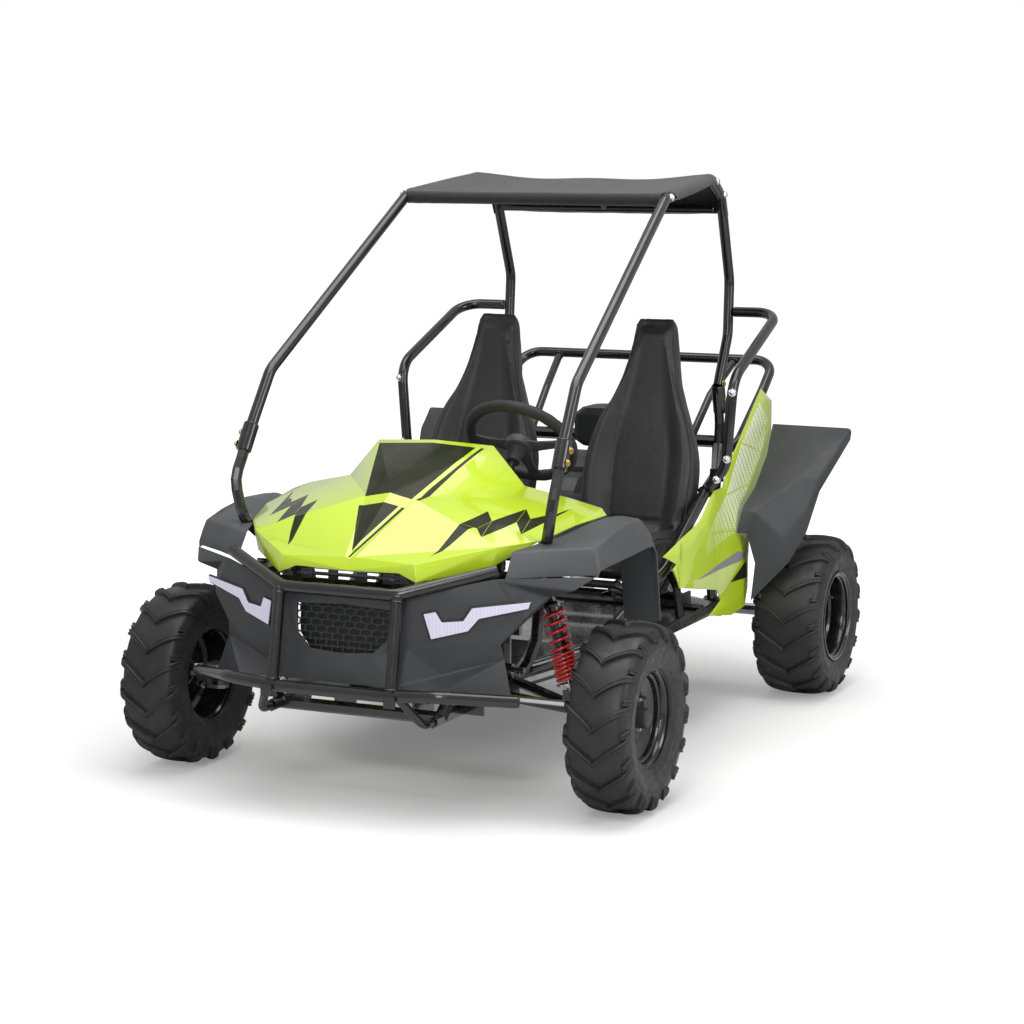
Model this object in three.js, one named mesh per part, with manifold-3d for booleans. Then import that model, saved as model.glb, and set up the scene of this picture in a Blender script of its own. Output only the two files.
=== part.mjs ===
// Off-road go-kart with two seats, a bolt-on roll cage and a cloth roof.
// Millimetres. +Z is up, the nose points along -Y and the vehicle's left side is +X.
// The origin lies on the ground under the middle of the length and the width.
import * as THREE from "three";
import { mergeVertices } from "three/addons/utils/BufferGeometryUtils.js";
import Module from "manifold-3d";

const wasm = await Module();
wasm.setup();

// Driving dimensions
const overallWidth = 1203; // across the front tyres
const overallHeight = 1315; // ground to the top of the roof
const wheelbase = 1283;
const frontReach = 329; // front axle to the face of the bumper
const tyreDiameter = 406;
const frontTyreWidth = 143;
const rearTyreWidth = 178;
const rearWheelInset = 26; // from a front wheel's middle plane in to a rear one's
const kingpinInset = 80; // from a front wheel's middle plane in to its kingpin

// Fits
const clearance = 0.4; // between pieces that touch
const bearingGap = 0.4; // radial, between a pin and its bore
// The radius of a flat-sided bore that clears a round pin as it turns.
const boreRadius = (pinRadius, sides = roundSides) =>
  (pinRadius + bearingGap) / Math.cos(Math.PI / sides);
const overrun = 6; // how far a cutter passes the face it opens

// Tubes and sheet
const cageTube = { radius: 12.7, bend: 70, sides: 8, bendSteps: 2 };
const railTube = { radius: 14, bend: 120, sides: 8, bendSteps: 2 };
const braceTube = { radius: 10, bend: 50, sides: 6, bendSteps: 2 };
const roundSides = 8;
const hiddenSides = 6; // of round bars behind the bodywork
const bumperTube = { radius: 13, bend: 60, sides: 8, bendSteps: 2 };
const panelWall = 4;
const steelPlate = 6;

const tyreRadius = tyreDiameter / 2;
const frontAxleY = -(wheelbase + tyreRadius - frontReach) / 2;
const rearAxleY = frontAxleY + wheelbase;
const frontWheelX = (overallWidth - frontTyreWidth) / 2;
const rearWheelX = frontWheelX - rearWheelInset;
const kingpinX = frontWheelX - kingpinInset;

// Finishes, after the colours of the real machine
const finishes = {
  glossBlack: { color: 0x0c0c0e, roughness: 0.2, metalness: 0.3 },
  limeGloss: { color: 0xcfea33, roughness: 0.25, metalness: 0 },
  greyPlastic: { color: 0x3b3c3f, roughness: 0.65, metalness: 0 },
  lampWhite: { color: 0xe6e4f4, roughness: 0.3, metalness: 0 },
  tyreRubber: { color: 0x1b1b1c, roughness: 0.85, metalness: 0 },
  blackVinyl: { color: 0x1a1a1c, roughness: 0.5, metalness: 0 },
  roofCloth: { color: 0x17181a, roughness: 0.9, metalness: 0 },
  springRed: { color: 0xb3121a, roughness: 0.35, metalness: 0.1 },
  brightSteel: { color: 0xb9bcc0, roughness: 0.3, metalness: 1 },
  castGrey: { color: 0x6d6f72, roughness: 0.55, metalness: 0.8 },
  wheelGrip: { color: 0x151516, roughness: 0.7, metalness: 0 },
};

// Solids: joining, cutting and mirroring

// A closed geometry as a manifold solid.
function solidOf(geometry) {
  const bare = geometry.clone();
  bare.deleteAttribute("normal");
  bare.deleteAttribute("uv");
  const merged = mergeVertices(bare, mergeDistance);
  return new wasm.Manifold(
    new wasm.Mesh({
      numProp: 3,
      vertProperties: merged.attributes.position.array,
      triVerts: new Uint32Array(merged.index.array),
    }),
  );
}

// A manifold solid as a geometry.
function geometryOf(solid) {
  const mesh = solid.getMesh();
  const geometry = new THREE.BufferGeometry();
  const positions = new THREE.BufferAttribute(new Float32Array(mesh.vertProperties), 3);
  geometry.setAttribute("position", positions);
  geometry.setIndex(new THREE.BufferAttribute(new Uint32Array(mesh.triVerts), 1));
  return geometry;
}

// Several closed geometries welded into one.
function weld(...geometries) {
  return geometryOf(geometries.map(solidOf).reduce((sum, next) => sum.add(next)));
}

// A geometry with the space of others cut out of it.
function carve(geometry, ...cutters) {
  const whole = solidOf(geometry);
  return geometryOf(cutters.map(solidOf).reduce((rest, next) => rest.subtract(next), whole));
}

// The same piece on the other side of the centre plane.
function mirrored(geometry) {
  const copy = geometry.index ? geometry.toNonIndexed() : geometry.clone();
  const position = copy.getAttribute("position");
  for (let i = 0; i < position.count; i += 3) {
    const corner = (k) => new THREE.Vector3().fromBufferAttribute(position, i + k);
    const [a, b, c] = [0, 1, 2].map(corner);
    [a, c, b].forEach((point, k) => position.setXYZ(i + k, -point.x, point.y, point.z));
  }
  copy.deleteAttribute("normal");
  copy.deleteAttribute("uv");
  return copy;
}

// A place given in shares of half the width, of the wheelbase behind the front axle and of the height.
function place([across, along, up]) {
  const y = frontAxleY + along * wheelbase;
  return new THREE.Vector3((across * overallWidth) / 2, y, up * overallHeight);
}

const places = (shares) => shares.map(place);

// A copy of a point moved by a step.
const moved = (point, x, y, z) => point.clone().add(new THREE.Vector3(x, y, z));

// A path that stops at chosen stations only, so that straight runs stay one step long.
class StationPath extends THREE.Curve {
  constructor(stations) {
    super();
    this.stations = stations;
  }
  getPoint(t, target = new THREE.Vector3()) {
    const along = t * (this.stations.length - 1);
    const index = Math.min(Math.floor(along), this.stations.length - 2);
    return target.lerpVectors(this.stations[index], this.stations[index + 1], along - index);
  }
  getTangent(t, target = new THREE.Vector3()) {
    const last = this.stations.length - 1;
    const here = Math.round(t * last);
    const before = this.direction(Math.max(here - 1, 0));
    const after = this.direction(Math.min(here, last - 1));
    return target.addVectors(before, after).normalize();
  }
  getUtoTmapping(u) {
    return u;
  }
  direction(index) {
    return new THREE.Vector3().subVectors(this.stations[index + 1], this.stations[index]).normalize();
  }
}

// The corners of a bent tube's centre line, each rounded to the bend radius.
function roundedStations(corners, bendRadius, bendSteps) {
  const stations = [corners[0]];
  for (let i = 1; i < corners.length - 1; i += 1) {
    const back = new THREE.Vector3().subVectors(corners[i - 1], corners[i]);
    const ahead = new THREE.Vector3().subVectors(corners[i + 1], corners[i]);
    const reach = Math.min(
      bendRadius * Math.tan((Math.PI - back.angleTo(ahead)) / 2),
      longestTrimShare * back.length(),
      longestTrimShare * ahead.length(),
    );
    const start = corners[i].clone().addScaledVector(back.normalize(), reach);
    const end = corners[i].clone().addScaledVector(ahead.normalize(), reach);
    const arc = new THREE.QuadraticBezierCurve3(start, corners[i], end);
    stations.push(...arc.getPoints(bendSteps));
  }
  stations.push(corners.at(-1));
  return stations;
}

// A round section of the given radius.
function roundSection(radius, sides) {
  const corner = (_, k) => {
    const angle = (2 * Math.PI * k) / sides;
    return new THREE.Vector2(radius * Math.cos(angle), radius * Math.sin(angle));
  };
  return new THREE.Shape(Array.from({ length: sides }, corner));
}

// A round tube through stations.
function tubeThrough(stations, radius, sides) {
  return new THREE.ExtrudeGeometry(roundSection(radius, sides), {
    steps: stations.length - 1,
    extrudePath: new StationPath(stations),
    bevelEnabled: false,
  });
}

// A bent tube through corners.
function bentTube(corners, { radius, bend, sides, bendSteps }) {
  return tubeThrough(roundedStations(corners, bend, bendSteps), radius, sides);
}

// A straight round bar from one point to another.
function bar(from, to, radius, sides = hiddenSides) {
  const axis = new THREE.Vector3().subVectors(to, from);
  const geometry = new THREE.CylinderGeometry(radius, radius, axis.length(), sides);
  const turn = new THREE.Quaternion().setFromUnitVectors(unitY, axis.clone().normalize());
  geometry.applyQuaternion(turn);
  const middle = new THREE.Vector3().addVectors(from, to).multiplyScalar(0.5);
  return geometry.translate(middle.x, middle.y, middle.z);
}

// A box between two opposite corners.
function block(low, high) {
  const size = new THREE.Vector3().subVectors(high, low);
  const middle = new THREE.Vector3().addVectors(low, high).multiplyScalar(0.5);
  return new THREE.BoxGeometry(size.x, size.y, size.z).translate(middle.x, middle.y, middle.z);
}

// A solid of revolution about X, from [distance along X, radius] pairs.
function turnedAboutX(profile, segments) {
  const points = profile.map(([along, radius]) => new THREE.Vector2(radius, along));
  return new THREE.LatheGeometry(points, segments).rotateZ(-Math.PI / 2);
}

// The triangles of a face, all from its first corner.
const fan = (face) => face.slice(2).map((_, k) => [face[0], face[k + 1], face[k + 2]]);

// A closed geometry from corner points and faces, each face turned to point out.
function closedMesh(points, faces) {
  const triangles = faces.flatMap(fan);
  const geometry = new THREE.BufferGeometry().setFromPoints(points);
  geometry.setIndex(triangles.flat());
  const merged = mergeVertices(geometry, mergeDistance);
  const kept = [];
  for (let i = 0; i < merged.index.count; i += 3) {
    const [a, b, c] = [0, 1, 2].map((k) => merged.index.getX(i + k));
    if (a !== b && b !== c && c !== a) kept.push(a, b, c);
  }
  merged.setIndex(kept);
  return merged;
}

// A sheet of even thickness. Its outer skin is given by points and faces, its
// inner skin lies one thickness behind, and a wall closes every free edge.
function sheet(points, faces, thickness) {
  const normals = points.map(() => new THREE.Vector3());
  const edges = new Map();
  for (const face of faces) {
    const normal = faceNormal(points, face);
    face.forEach((corner, k) => {
      normals[corner].add(normal);
      const next = face[(k + 1) % face.length];
      if (!edges.delete(next + ">" + corner)) edges.set(corner + ">" + next, [corner, next]);
    });
  }
  const count = points.length;
  const inset = (point, k) => point.clone().addScaledVector(normals[k].normalize(), -thickness);
  const inner = points.map(inset);
  const front = faces.flatMap(fan);
  const back = front.map((face) => face.map((corner) => corner + count).reverse());
  const walls = [...edges.values()].map(([a, b]) => [b, a, a + count, b + count]);
  return closedMesh([...points, ...inner], [...front, ...back, ...walls]);
}

// The unit normal of a face, from its whole outline.
function faceNormal(points, face) {
  const normal = new THREE.Vector3();
  face.forEach((corner, k) => {
    const next = points[face[(k + 1) % face.length]];
    normal.add(new THREE.Vector3().crossVectors(points[corner], next));
  });
  return normal.normalize();
}

// The faces of a grid of points, row after row.
function gridFaces(rows, columns) {
  const faces = [];
  for (let r = 0; r < rows - 1; r += 1) {
    for (let c = 0; c < columns - 1; c += 1) {
      const corner = r * columns + c;
      faces.push([corner, corner + 1, corner + columns + 1, corner + columns]);
    }
  }
  return faces;
}

// A sheet over a grid of points.
function gridSheet(grid, thickness) {
  return sheet(grid.flat(), gridFaces(grid.length, grid[0].length), thickness);
}

// A body through closed rings of equally many points, capped at both ends.
function loft(rings) {
  const sides = rings[0].length;
  const faces = [];
  for (let r = 0; r < rings.length - 1; r += 1) {
    for (let k = 0; k < sides; k += 1) {
      const next = (k + 1) % sides;
      faces.push([r * sides + k, r * sides + next, (r + 1) * sides + next, (r + 1) * sides + k]);
    }
  }
  const first = rings[0].map((_, k) => k).reverse();
  const last = rings[0].map((_, k) => (rings.length - 1) * sides + k);
  return closedMesh(rings.flat(), [first, ...faces, last]);
}

// A flat plate: an outline in two of the axes, given a thickness along the third.
function plate(outline, thickness, orient) {
  const geometry = new THREE.ExtrudeGeometry(outline, { depth: thickness, bevelEnabled: false });
  return geometry.applyMatrix4(orient);
}

// Turns and shifts that stand a plate's sketch up in the kart.
function standing(right, up, origin) {
  const out = new THREE.Vector3().crossVectors(right, up);
  return new THREE.Matrix4().makeBasis(right, up, out).setPosition(origin);
}

const unitX = new THREE.Vector3(1, 0, 0);
const unitY = new THREE.Vector3(0, 1, 0);
const unitZ = new THREE.Vector3(0, 0, 1);
const mergeDistance = 1e-3;
const smallestStep = 0.1; // corners that stand out less than this are smoothed away
const longestTrimShare = 0.48;

const kart = new THREE.Group();

// Hangs one named piece on a group of the kart.
function addPiece(name, geometry, finish, group = kart) {
  const tidy = geometryOf(solidOf(geometry).simplify(smallestStep));
  const mesh = new THREE.Mesh(tidy, new THREE.MeshStandardMaterial(finish));
  mesh.name = name;
  group.add(mesh);
}

// Hangs a piece of the left side, and its mirror image on the right.
function addPair(name, geometry, finish) {
  addPiece("left_" + name, geometry, finish);
  addPiece("right_" + name, mirrored(geometry), finish);
}

// Wheels

const tyre = {
  pitches: 14, // chevron lugs round the tread
  lugShare: 0.42, // of a pitch, across the lug
  beadSeat: 101.6,
  beadWidth: 14,
  lipStand: 4, // the sidewall's lip beyond the rim flange
  lipRise: 7,
};

// Tread stations: shares of the half width, of the section height to the groove
// and to the lug, and of a pitch by which the chevron's arm lags behind its tip.
const treadShares = [
  [0, 0.885, 1, 0],
  [0.8, 0.84, 0.965, 0.95],
  [0.97, 0.64, 0.64, 1.15],
];
const sidewallShare = [1, 0.42];
const linerShares = [
  [0.72, 0.74],
  [0, 0.79],
];

const rim = {
  flangeRadius: 113,
  flange: 4,
  barrelRadius: 93,
  wall: 4,
  hubRadius: 30,
  capRadius: 22,
  capLength: 16,
  segments: tyre.pitches,
};
const frontRim = { ...rim, half: 57, disc: 12, hubLow: -24, hubHigh: 34, bore: 10.4 };
const rearRim = { ...rim, half: 80, disc: -30, hubLow: -52, hubHigh: -8, bore: 15.4 };
const spindleRadius = frontRim.bore - bearingGap;
const axleRadius = rearRim.bore - bearingGap;

// A tyre about X with a chevron tread. Every ring has four points a pitch: the
// groove's edge, the lug's two top edges and the next groove's edge.
function tyreGeometry(width, seat) {
  const halfWidth = width / 2;
  const section = tyreRadius - tyre.beadSeat;
  const bead = tyre.beadSeat + clearance;
  const flangeSide = seat.half - seat.flange - clearance;
  const pitch = (2 * Math.PI) / tyre.pitches;
  const crownStretch = 1 / Math.cos((tyre.lugShare * pitch) / 2);
  const level = (share) => tyre.beadSeat + share * section;
  // Below the tread a ring has one point a pitch, in line with the rim's segments.
  const coarse = (x, radius) => ({ x, floor: radius, top: radius, lag: 1, lugShare: 0 });
  const half = [
    ...treadShares.map(([across, floor, top, behind]) => ({
      x: across * halfWidth,
      floor: level(floor),
      top: across === 0 ? level(top) * crownStretch : level(top),
      lag: behind,
    })),
    coarse(sidewallShare[0] * halfWidth, level(sidewallShare[1])),
    coarse(seat.half + tyre.lipStand, seat.flangeRadius + tyre.lipRise),
    coarse(flangeSide, seat.flangeRadius + clearance),
    coarse(flangeSide, bead),
    coarse(flangeSide - tyre.beadWidth, bead),
    ...linerShares.map(([across, up]) => coarse(across * halfWidth, level(up))),
  ];
  const other = half.slice(1, -1).map((ring) => ({ ...ring, x: -ring.x }));
  const rings = [...half, ...other.reverse()];
  const around = 4 * tyre.pitches;
  const points = rings.flatMap((ring) =>
    Array.from({ length: around }, (_, k) => {
      const onLug = k % 4 === 1 || k % 4 === 2;
      const lugShare = ring.lugShare ?? tyre.lugShare;
      const turn = Math.floor(k / 4) - ring.lag + (k % 4 < 2 ? 0 : lugShare);
      const angle = turn * pitch - (Math.PI + lugShare * pitch) / 2;
      const radius = onLug ? ring.top : ring.floor;
      return new THREE.Vector3(ring.x, radius * Math.cos(angle), radius * Math.sin(angle));
    }),
  );
  const faces = rings.flatMap((_, r) =>
    Array.from({ length: around }, (__, k) => {
      const nextRing = ((r + 1) % rings.length) * around;
      const next = (k + 1) % around;
      return [r * around + k, r * around + next, nextRing + next, nextRing + k];
    }),
  );
  return closedMesh(points, faces);
}

// A pressed steel rim about X: two flanges, a barrel, a disc and a capped hub.
function rimGeometry(seat) {
  const { half, flange, flangeRadius, barrelRadius, wall, disc, hubRadius, hubLow, hubHigh } = seat;
  const innerBarrel = barrelRadius - wall;
  const wellEdge = half - flange - tyre.beadWidth;
  const profile = [
    [hubHigh + seat.capLength, 0],
    [hubHigh + seat.capLength, seat.capRadius],
    [hubHigh, seat.capRadius + wall],
    [disc + wall, hubRadius],
    [disc + wall, innerBarrel],
    [wellEdge, innerBarrel],
    [half, tyre.beadSeat - wall],
    [half, flangeRadius],
    [half - flange, flangeRadius],
    [half - flange, tyre.beadSeat],
    [flange - half, tyre.beadSeat],
    [flange - half, flangeRadius],
    [-half, flangeRadius],
    [-half, innerBarrel],
    [disc, innerBarrel],
    [disc, hubRadius],
    [hubLow, hubRadius],
    [hubLow, seat.bore],
    [hubHigh, seat.bore],
    [hubHigh, 0],
  ];
  return turnedAboutX(profile.reverse(), rim.segments);
}

function addWheel(end, side, sign, wheelX, axleY, width, seat) {
  const group = new THREE.Group();
  group.position.set(sign * wheelX, axleY, tyreRadius);
  kart.add(group);
  const outward = (geometry) => (sign > 0 ? geometry : mirrored(geometry));
  addPiece(side + "_" + end + "_tyre", outward(tyreGeometry(width, seat)), finishes.tyreRubber, group);
  addPiece(side + "_" + end + "_rim", outward(rimGeometry(seat)), finishes.glossBlack, group);
}

for (const [side, sign] of [["left", 1], ["right", -1]]) {
  addWheel("front", side, sign, frontWheelX, frontAxleY, frontTyreWidth, frontRim);
  addWheel("rear", side, sign, rearWheelX, rearAxleY, rearTyreWidth, rearRim);
}

// Springs and dampers

const frontCoil = { wire: 7, meanRadius: 23, denseCurls: 5, openCurls: 3, denseShare: 0.42 };
const rearCoil = { wire: 9, meanRadius: 27, denseCurls: 4, openCurls: 3, denseShare: 0.5 };
const curlSteps = 8;
const coilSides = 5;
const damper = {
  eyeRadius: 14,
  openBore: 9, // the lower eye's, with play round its pin
  eyeHalf: 11,
  bodyRadius: 14,
  rodRadius: 6,
  neckRadius: 11,
  seat: 5,
  footInset: 46, // from the kingpin in to the front damper's foot
  seatStand: 11, // from the eye to the spring's seat
  pinRadius: 5,
  bodyShare: 0.52, // of the eye-to-eye length, taken by the body
  rodOverlapShare: 0.16, // of that length, of the rod inside the body at rest
};
const frontDamperFoot = place([0.6717, 0, 0.1787]).setX(kingpinX - damper.footInset);
const frontDamperTop = place([0.5819, 0, 0.346]);
const rearDamperFoot = place([0, 1.0288, 0.2662]);
const rearDamperTop = place([0, 0.9704, 0.4563]);

// The centre line of a coil that stands on Z: a straight foot one wire long, the
// close-wound curls, the open curls and a straight top.
function coilStations({ wire, meanRadius, denseCurls, openCurls, denseShare }, length) {
  const curls = denseCurls + openCurls;
  const rise = length - 2 * wire;
  const levelAt = (turn) =>
    turn < denseCurls
      ? (turn / denseCurls) * denseShare
      : denseShare + ((turn - denseCurls) / openCurls) * (1 - denseShare);
  const onCoil = (turn, level) => {
    const angle = 2 * Math.PI * turn;
    return new THREE.Vector3(meanRadius * Math.cos(angle), meanRadius * Math.sin(angle), level);
  };
  const winding = Array.from({ length: curls * curlSteps + 1 }, (_, k) => {
    const turn = k / curlSteps;
    return onCoil(turn, wire + levelAt(turn) * rise);
  });
  return [onCoil(0, 0), ...winding, onCoil(curls, length)];
}

// The least gap between stretches of a tube that lie more than half a curl apart.
function leastGapToItself(stations, wire) {
  let least = Infinity;
  stations.forEach((a, i) => {
    stations.slice(i + curlSteps / 2 + 1).forEach((b) => {
      least = Math.min(least, a.distanceTo(b) - wire);
    });
  });
  return least;
}

// Stands the Z axis up from one point towards another.
function alongLine(from, to) {
  const direction = new THREE.Vector3().subVectors(to, from).normalize();
  const turn = new THREE.Quaternion().setFromUnitVectors(unitZ, direction);
  return new THREE.Matrix4().compose(from, turn, new THREE.Vector3(1, 1, 1));
}

// A coil-over damper: the lower eye and rod, the upper eye and body, and the spring.
function addCoilOver(name, low, high, eyeAxis, coil, mirror) {
  const length = low.distanceTo(high);
  const direction = new THREE.Vector3().subVectors(high, low).normalize();
  const at = (distance) => low.clone().addScaledVector(direction, distance);
  const across = (centre, half, radius) =>
    bar(
      centre.clone().addScaledVector(eyeAxis, -half),
      centre.clone().addScaledVector(eyeAxis, half),
      radius,
      roundSides,
    );
  const seatRadius = coil.meanRadius + coil.wire;
  const lowSeat = damper.eyeRadius + damper.seatStand + damper.seat;
  const highSeat = length - lowSeat;
  const bodyEnd = (1 - damper.bodyShare) * length;
  const rodEnd = bodyEnd + damper.rodOverlapShare * length;
  const rod = carve(
    weld(
      across(low, damper.eyeHalf, damper.eyeRadius),
      bar(at(0), at(lowSeat), damper.neckRadius),
      bar(at(lowSeat - damper.seat), at(lowSeat), seatRadius),
      bar(at(lowSeat - damper.seat), at(rodEnd), damper.rodRadius, roundSides),
    ),
    across(low, damper.eyeHalf + overrun, damper.openBore),
  );
  const body = carve(
    weld(
      across(high, damper.eyeHalf, damper.eyeRadius),
      bar(at(highSeat), at(length), damper.neckRadius),
      bar(at(highSeat), at(highSeat + damper.seat), seatRadius),
      bar(at(bodyEnd), at(highSeat + damper.seat), damper.bodyRadius),
    ),
    across(high, damper.eyeHalf + overrun, boreRadius(damper.pinRadius)),
    bar(at(bodyEnd - overrun), at(highSeat - damper.seat), damper.rodRadius + bearingGap, roundSides),
  );
  const stations = coilStations(coil, highSeat - lowSeat - 2 * clearance);
  const gap = leastGapToItself(stations, coil.wire).toFixed(2);
  console.log(name + " spring: least gap to itself " + gap + " mm");
  const spring = tubeThrough(stations, coil.wire / 2, coilSides);
  spring.applyMatrix4(alongLine(at(lowSeat + clearance), high));
  const sided = (geometry) => (mirror ? mirrored(geometry) : geometry);
  addPiece(name + "_damper_rod", sided(rod), finishes.brightSteel);
  addPiece(name + "_damper", sided(body), finishes.glossBlack);
  addPiece(name + "_spring", sided(spring), finishes.springRed);
}

addCoilOver("left_front", frontDamperFoot, frontDamperTop, unitY, frontCoil, false);
addCoilOver("right_front", frontDamperFoot, frontDamperTop, unitY, frontCoil, true);
addCoilOver("rear", rearDamperFoot, rearDamperTop, unitX, rearCoil, false);

// Front suspension and steering linkage, left side

const wishbone = {
  tube: 11,
  bushRadius: 15,
  bushHalf: 17,
  pinRadius: 6,
  bossRadius: 15,
  bossHalf: 20,
  pivotX: 225,
  pivotHeight: 240,
  frontBush: -60, // from the axle
  rearBush: 80,
};
const kingpin = { radius: 7, earThick: 8, earRadius: 17, web: 12 };
const steerArm = {
  length: 100,
  width: 22,
  eyeRadius: 12,
  eyeHalf: 9,
  rodRadius: 7,
  ballRadius: 12,
  play: 0.8,
};
const rack = {
  radius: 10,
  half: 217,
  housingRadius: 17,
  housingLow: -60,
  housingHigh: 130,
  pinionX: 100,
  reach: -100,
};

const bushCentres = [wishbone.frontBush, wishbone.rearBush].map(
  (y) => new THREE.Vector3(wishbone.pivotX, frontAxleY + y, wishbone.pivotHeight),
);
const bossCentre = new THREE.Vector3(kingpinX, frontAxleY, tyreRadius);
const earStand = wishbone.bossHalf + clearance;
const tieLevel = tyreRadius + earStand + kingpin.earThick + clearance + steerArm.eyeHalf;
const eyeSide = damper.eyeHalf + clearance; // inner face of the plates round a damper eye

// A bar along Y through a centre.
const barAlongY = (centre, half, radius, sides = roundSides) =>
  bar(moved(centre, 0, -half, 0), moved(centre, 0, half, 0), radius, sides);
// A bar along X through a centre.
const barAlongX = (centre, half, radius, sides = roundSides) =>
  bar(moved(centre, -half, 0, 0), moved(centre, half, 0, 0), radius, sides);
// A bar along Z through a centre.
const barAlongZ = (centre, half, radius, sides = roundSides) =>
  bar(moved(centre, 0, 0, -half), moved(centre, 0, 0, half), radius, sides);

function wishboneGeometry() {
  const legEnd = moved(bossCentre, -wishbone.bossRadius / 2, 0, 0);
  const legs = bushCentres.map((centre) => bar(centre, legEnd, wishbone.tube));
  const shells = bushCentres.map((centre) => barAlongY(centre, wishbone.bushHalf, wishbone.bushRadius));
  const bores = bushCentres.map((centre) =>
    barAlongY(centre, wishbone.bushHalf + overrun, boreRadius(wishbone.pinRadius)),
  );
  const boss = barAlongZ(bossCentre, wishbone.bossHalf, wishbone.bossRadius);
  const bossBore = barAlongZ(bossCentre, wishbone.bossHalf + overrun, boreRadius(kingpin.radius));
  const eyeRoom = barAlongY(frontDamperFoot, eyeSide, damper.eyeRadius + damper.openBore);
  const earLow = moved(frontDamperFoot, -damper.eyeRadius, 0, 0).setZ(tyreRadius);
  const earHigh = moved(frontDamperFoot, damper.eyeRadius, 0, damper.eyeRadius);
  const earAt = (y) => block(earLow.clone().setY(y), earHigh.clone().setY(y + steelPlate));
  const ears = [earAt(frontAxleY + eyeSide), earAt(frontAxleY - eyeSide - steelPlate)];
  const pin = barAlongY(frontDamperFoot, eyeSide + steelPlate / 2, damper.pinRadius);
  return weld(carve(weld(...legs, ...shells, boss), ...bores, bossBore, eyeRoom), ...ears, pin);
}

function knuckleGeometry() {
  const webStart = wishbone.bossRadius + clearance;
  const webEnd = webStart + kingpin.web;
  const reach = earStand + kingpin.earThick;
  const pin = barAlongZ(bossCentre, earStand + clearance, kingpin.radius);
  const ears = [earStand, -reach].map((low) =>
    bar(moved(bossCentre, 0, 0, low), moved(bossCentre, 0, 0, low + kingpin.earThick), kingpin.earRadius),
  );
  const ledges = [earStand, -reach].map((low) =>
    block(
      moved(bossCentre, 0, -kingpin.earRadius, low),
      moved(bossCentre, webEnd, kingpin.earRadius, low + kingpin.earThick),
    ),
  );
  const web = block(
    moved(bossCentre, webStart, -kingpin.earRadius, -reach),
    moved(bossCentre, webEnd, kingpin.earRadius, reach),
  );
  const hubFace = moved(bossCentre, kingpinInset + frontRim.hubLow - clearance, 0, 0);
  const shoulder = bar(moved(bossCentre, webEnd - kingpin.web / 2, 0, 0), hubFace, kingpin.earRadius);
  const tip = moved(bossCentre, kingpinInset + frontRim.hubHigh - steelPlate, 0, 0);
  const spindle = bar(moved(bossCentre, webEnd, 0, 0), tip, spindleRadius);
  const armHalf = steerArm.width / 2;
  const arm = block(
    moved(bossCentre, -armHalf, -steerArm.length - armHalf, earStand),
    moved(bossCentre, armHalf, 0, reach),
  );
  return weld(pin, ...ears, ...ledges, web, shoulder, spindle, arm);
}

function tieRodGeometry() {
  const outer = new THREE.Vector3(kingpinX, frontAxleY - steerArm.length, tieLevel);
  const innerX = rack.half + steerArm.play + steerArm.ballRadius;
  const inner = new THREE.Vector3(innerX, frontAxleY + rack.reach, tieLevel);
  const ball = new THREE.SphereGeometry(steerArm.ballRadius, 8, 6).translate(inner.x, inner.y, inner.z);
  const eye = barAlongZ(outer, steerArm.eyeHalf, steerArm.eyeRadius);
  return weld(ball, bar(inner, outer, steerArm.rodRadius), eye);
}

addPair("front_arm", wishboneGeometry(), finishes.glossBlack);
addPair("knuckle", knuckleGeometry(), finishes.glossBlack);
addPair("tie_rod", tieRodGeometry(), finishes.brightSteel);

const rackEnd = new THREE.Vector3(rack.half, frontAxleY + rack.reach, tieLevel);
const rackBar = barAlongX(moved(rackEnd, -rack.half, 0, 0), rack.half, rack.radius);
addPiece("steering_rack", rackBar, finishes.brightSteel);

// Steering wheel and column

const wheelRing = {
  radius: 118,
  tube: 13,
  sections: 18,
  hub: 30,
  hubDepth: 24,
  spokes: 3,
  spokeWidth: 26,
  spokeThick: 6,
};
const column = {
  radius: 8,
  bushRadius: 16,
  bushHalf: 15,
  bushReach: 45, // from the joint, along the upper shaft
  ball: 15,
  pinionReach: 42,
  pinionTip: 14,
};
const wheelCentre = place([0.2826, 0.1988, 0.5589]);
const columnJoint = place([0.2826, 0.0694, 0.438]);
const pinionPoint = new THREE.Vector3(rack.pinionX, frontAxleY + rack.reach, tieLevel);

function steeringWheelGeometry() {
  const ring = new THREE.TorusGeometry(wheelRing.radius, wheelRing.tube, hiddenSides, wheelRing.sections);
  const hub = bar(new THREE.Vector3(0, 0, -wheelRing.hubDepth), new THREE.Vector3(0, 0, 0), wheelRing.hub);
  const spokes = Array.from({ length: wheelRing.spokes }, (_, k) => {
    const halfWidth = wheelRing.spokeWidth / 2;
    const spoke = block(
      new THREE.Vector3(0, -halfWidth, -wheelRing.spokeThick),
      new THREE.Vector3(wheelRing.radius, halfWidth, 0),
    );
    return spoke.rotateZ((k * Math.PI) / 2);
  });
  const tilt = alongLine(wheelCentre, wheelCentre.clone().add(columnAxis));
  const head = weld(ring, hub, ...spokes).applyMatrix4(tilt);
  const shaftEnd = columnJoint.clone().addScaledVector(columnAxis, column.ball + clearance);
  return weld(head, bar(shaftEnd, wheelCentre, column.radius));
}

const columnAxis = new THREE.Vector3().subVectors(wheelCentre, columnJoint).normalize();
addPiece("steering_wheel", steeringWheelGeometry(), finishes.wheelGrip);

const lowerAxis = new THREE.Vector3().subVectors(columnJoint, pinionPoint).normalize();
const pinionTip = pinionPoint.clone().addScaledVector(lowerAxis, column.pinionTip);
const jointBall = new THREE.SphereGeometry(column.ball, 10, 6);
jointBall.translate(columnJoint.x, columnJoint.y, columnJoint.z);
const lowerShaft = weld(jointBall, bar(pinionTip, columnJoint, column.radius));
addPiece("lower_shaft", lowerShaft, finishes.brightSteel);

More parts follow.
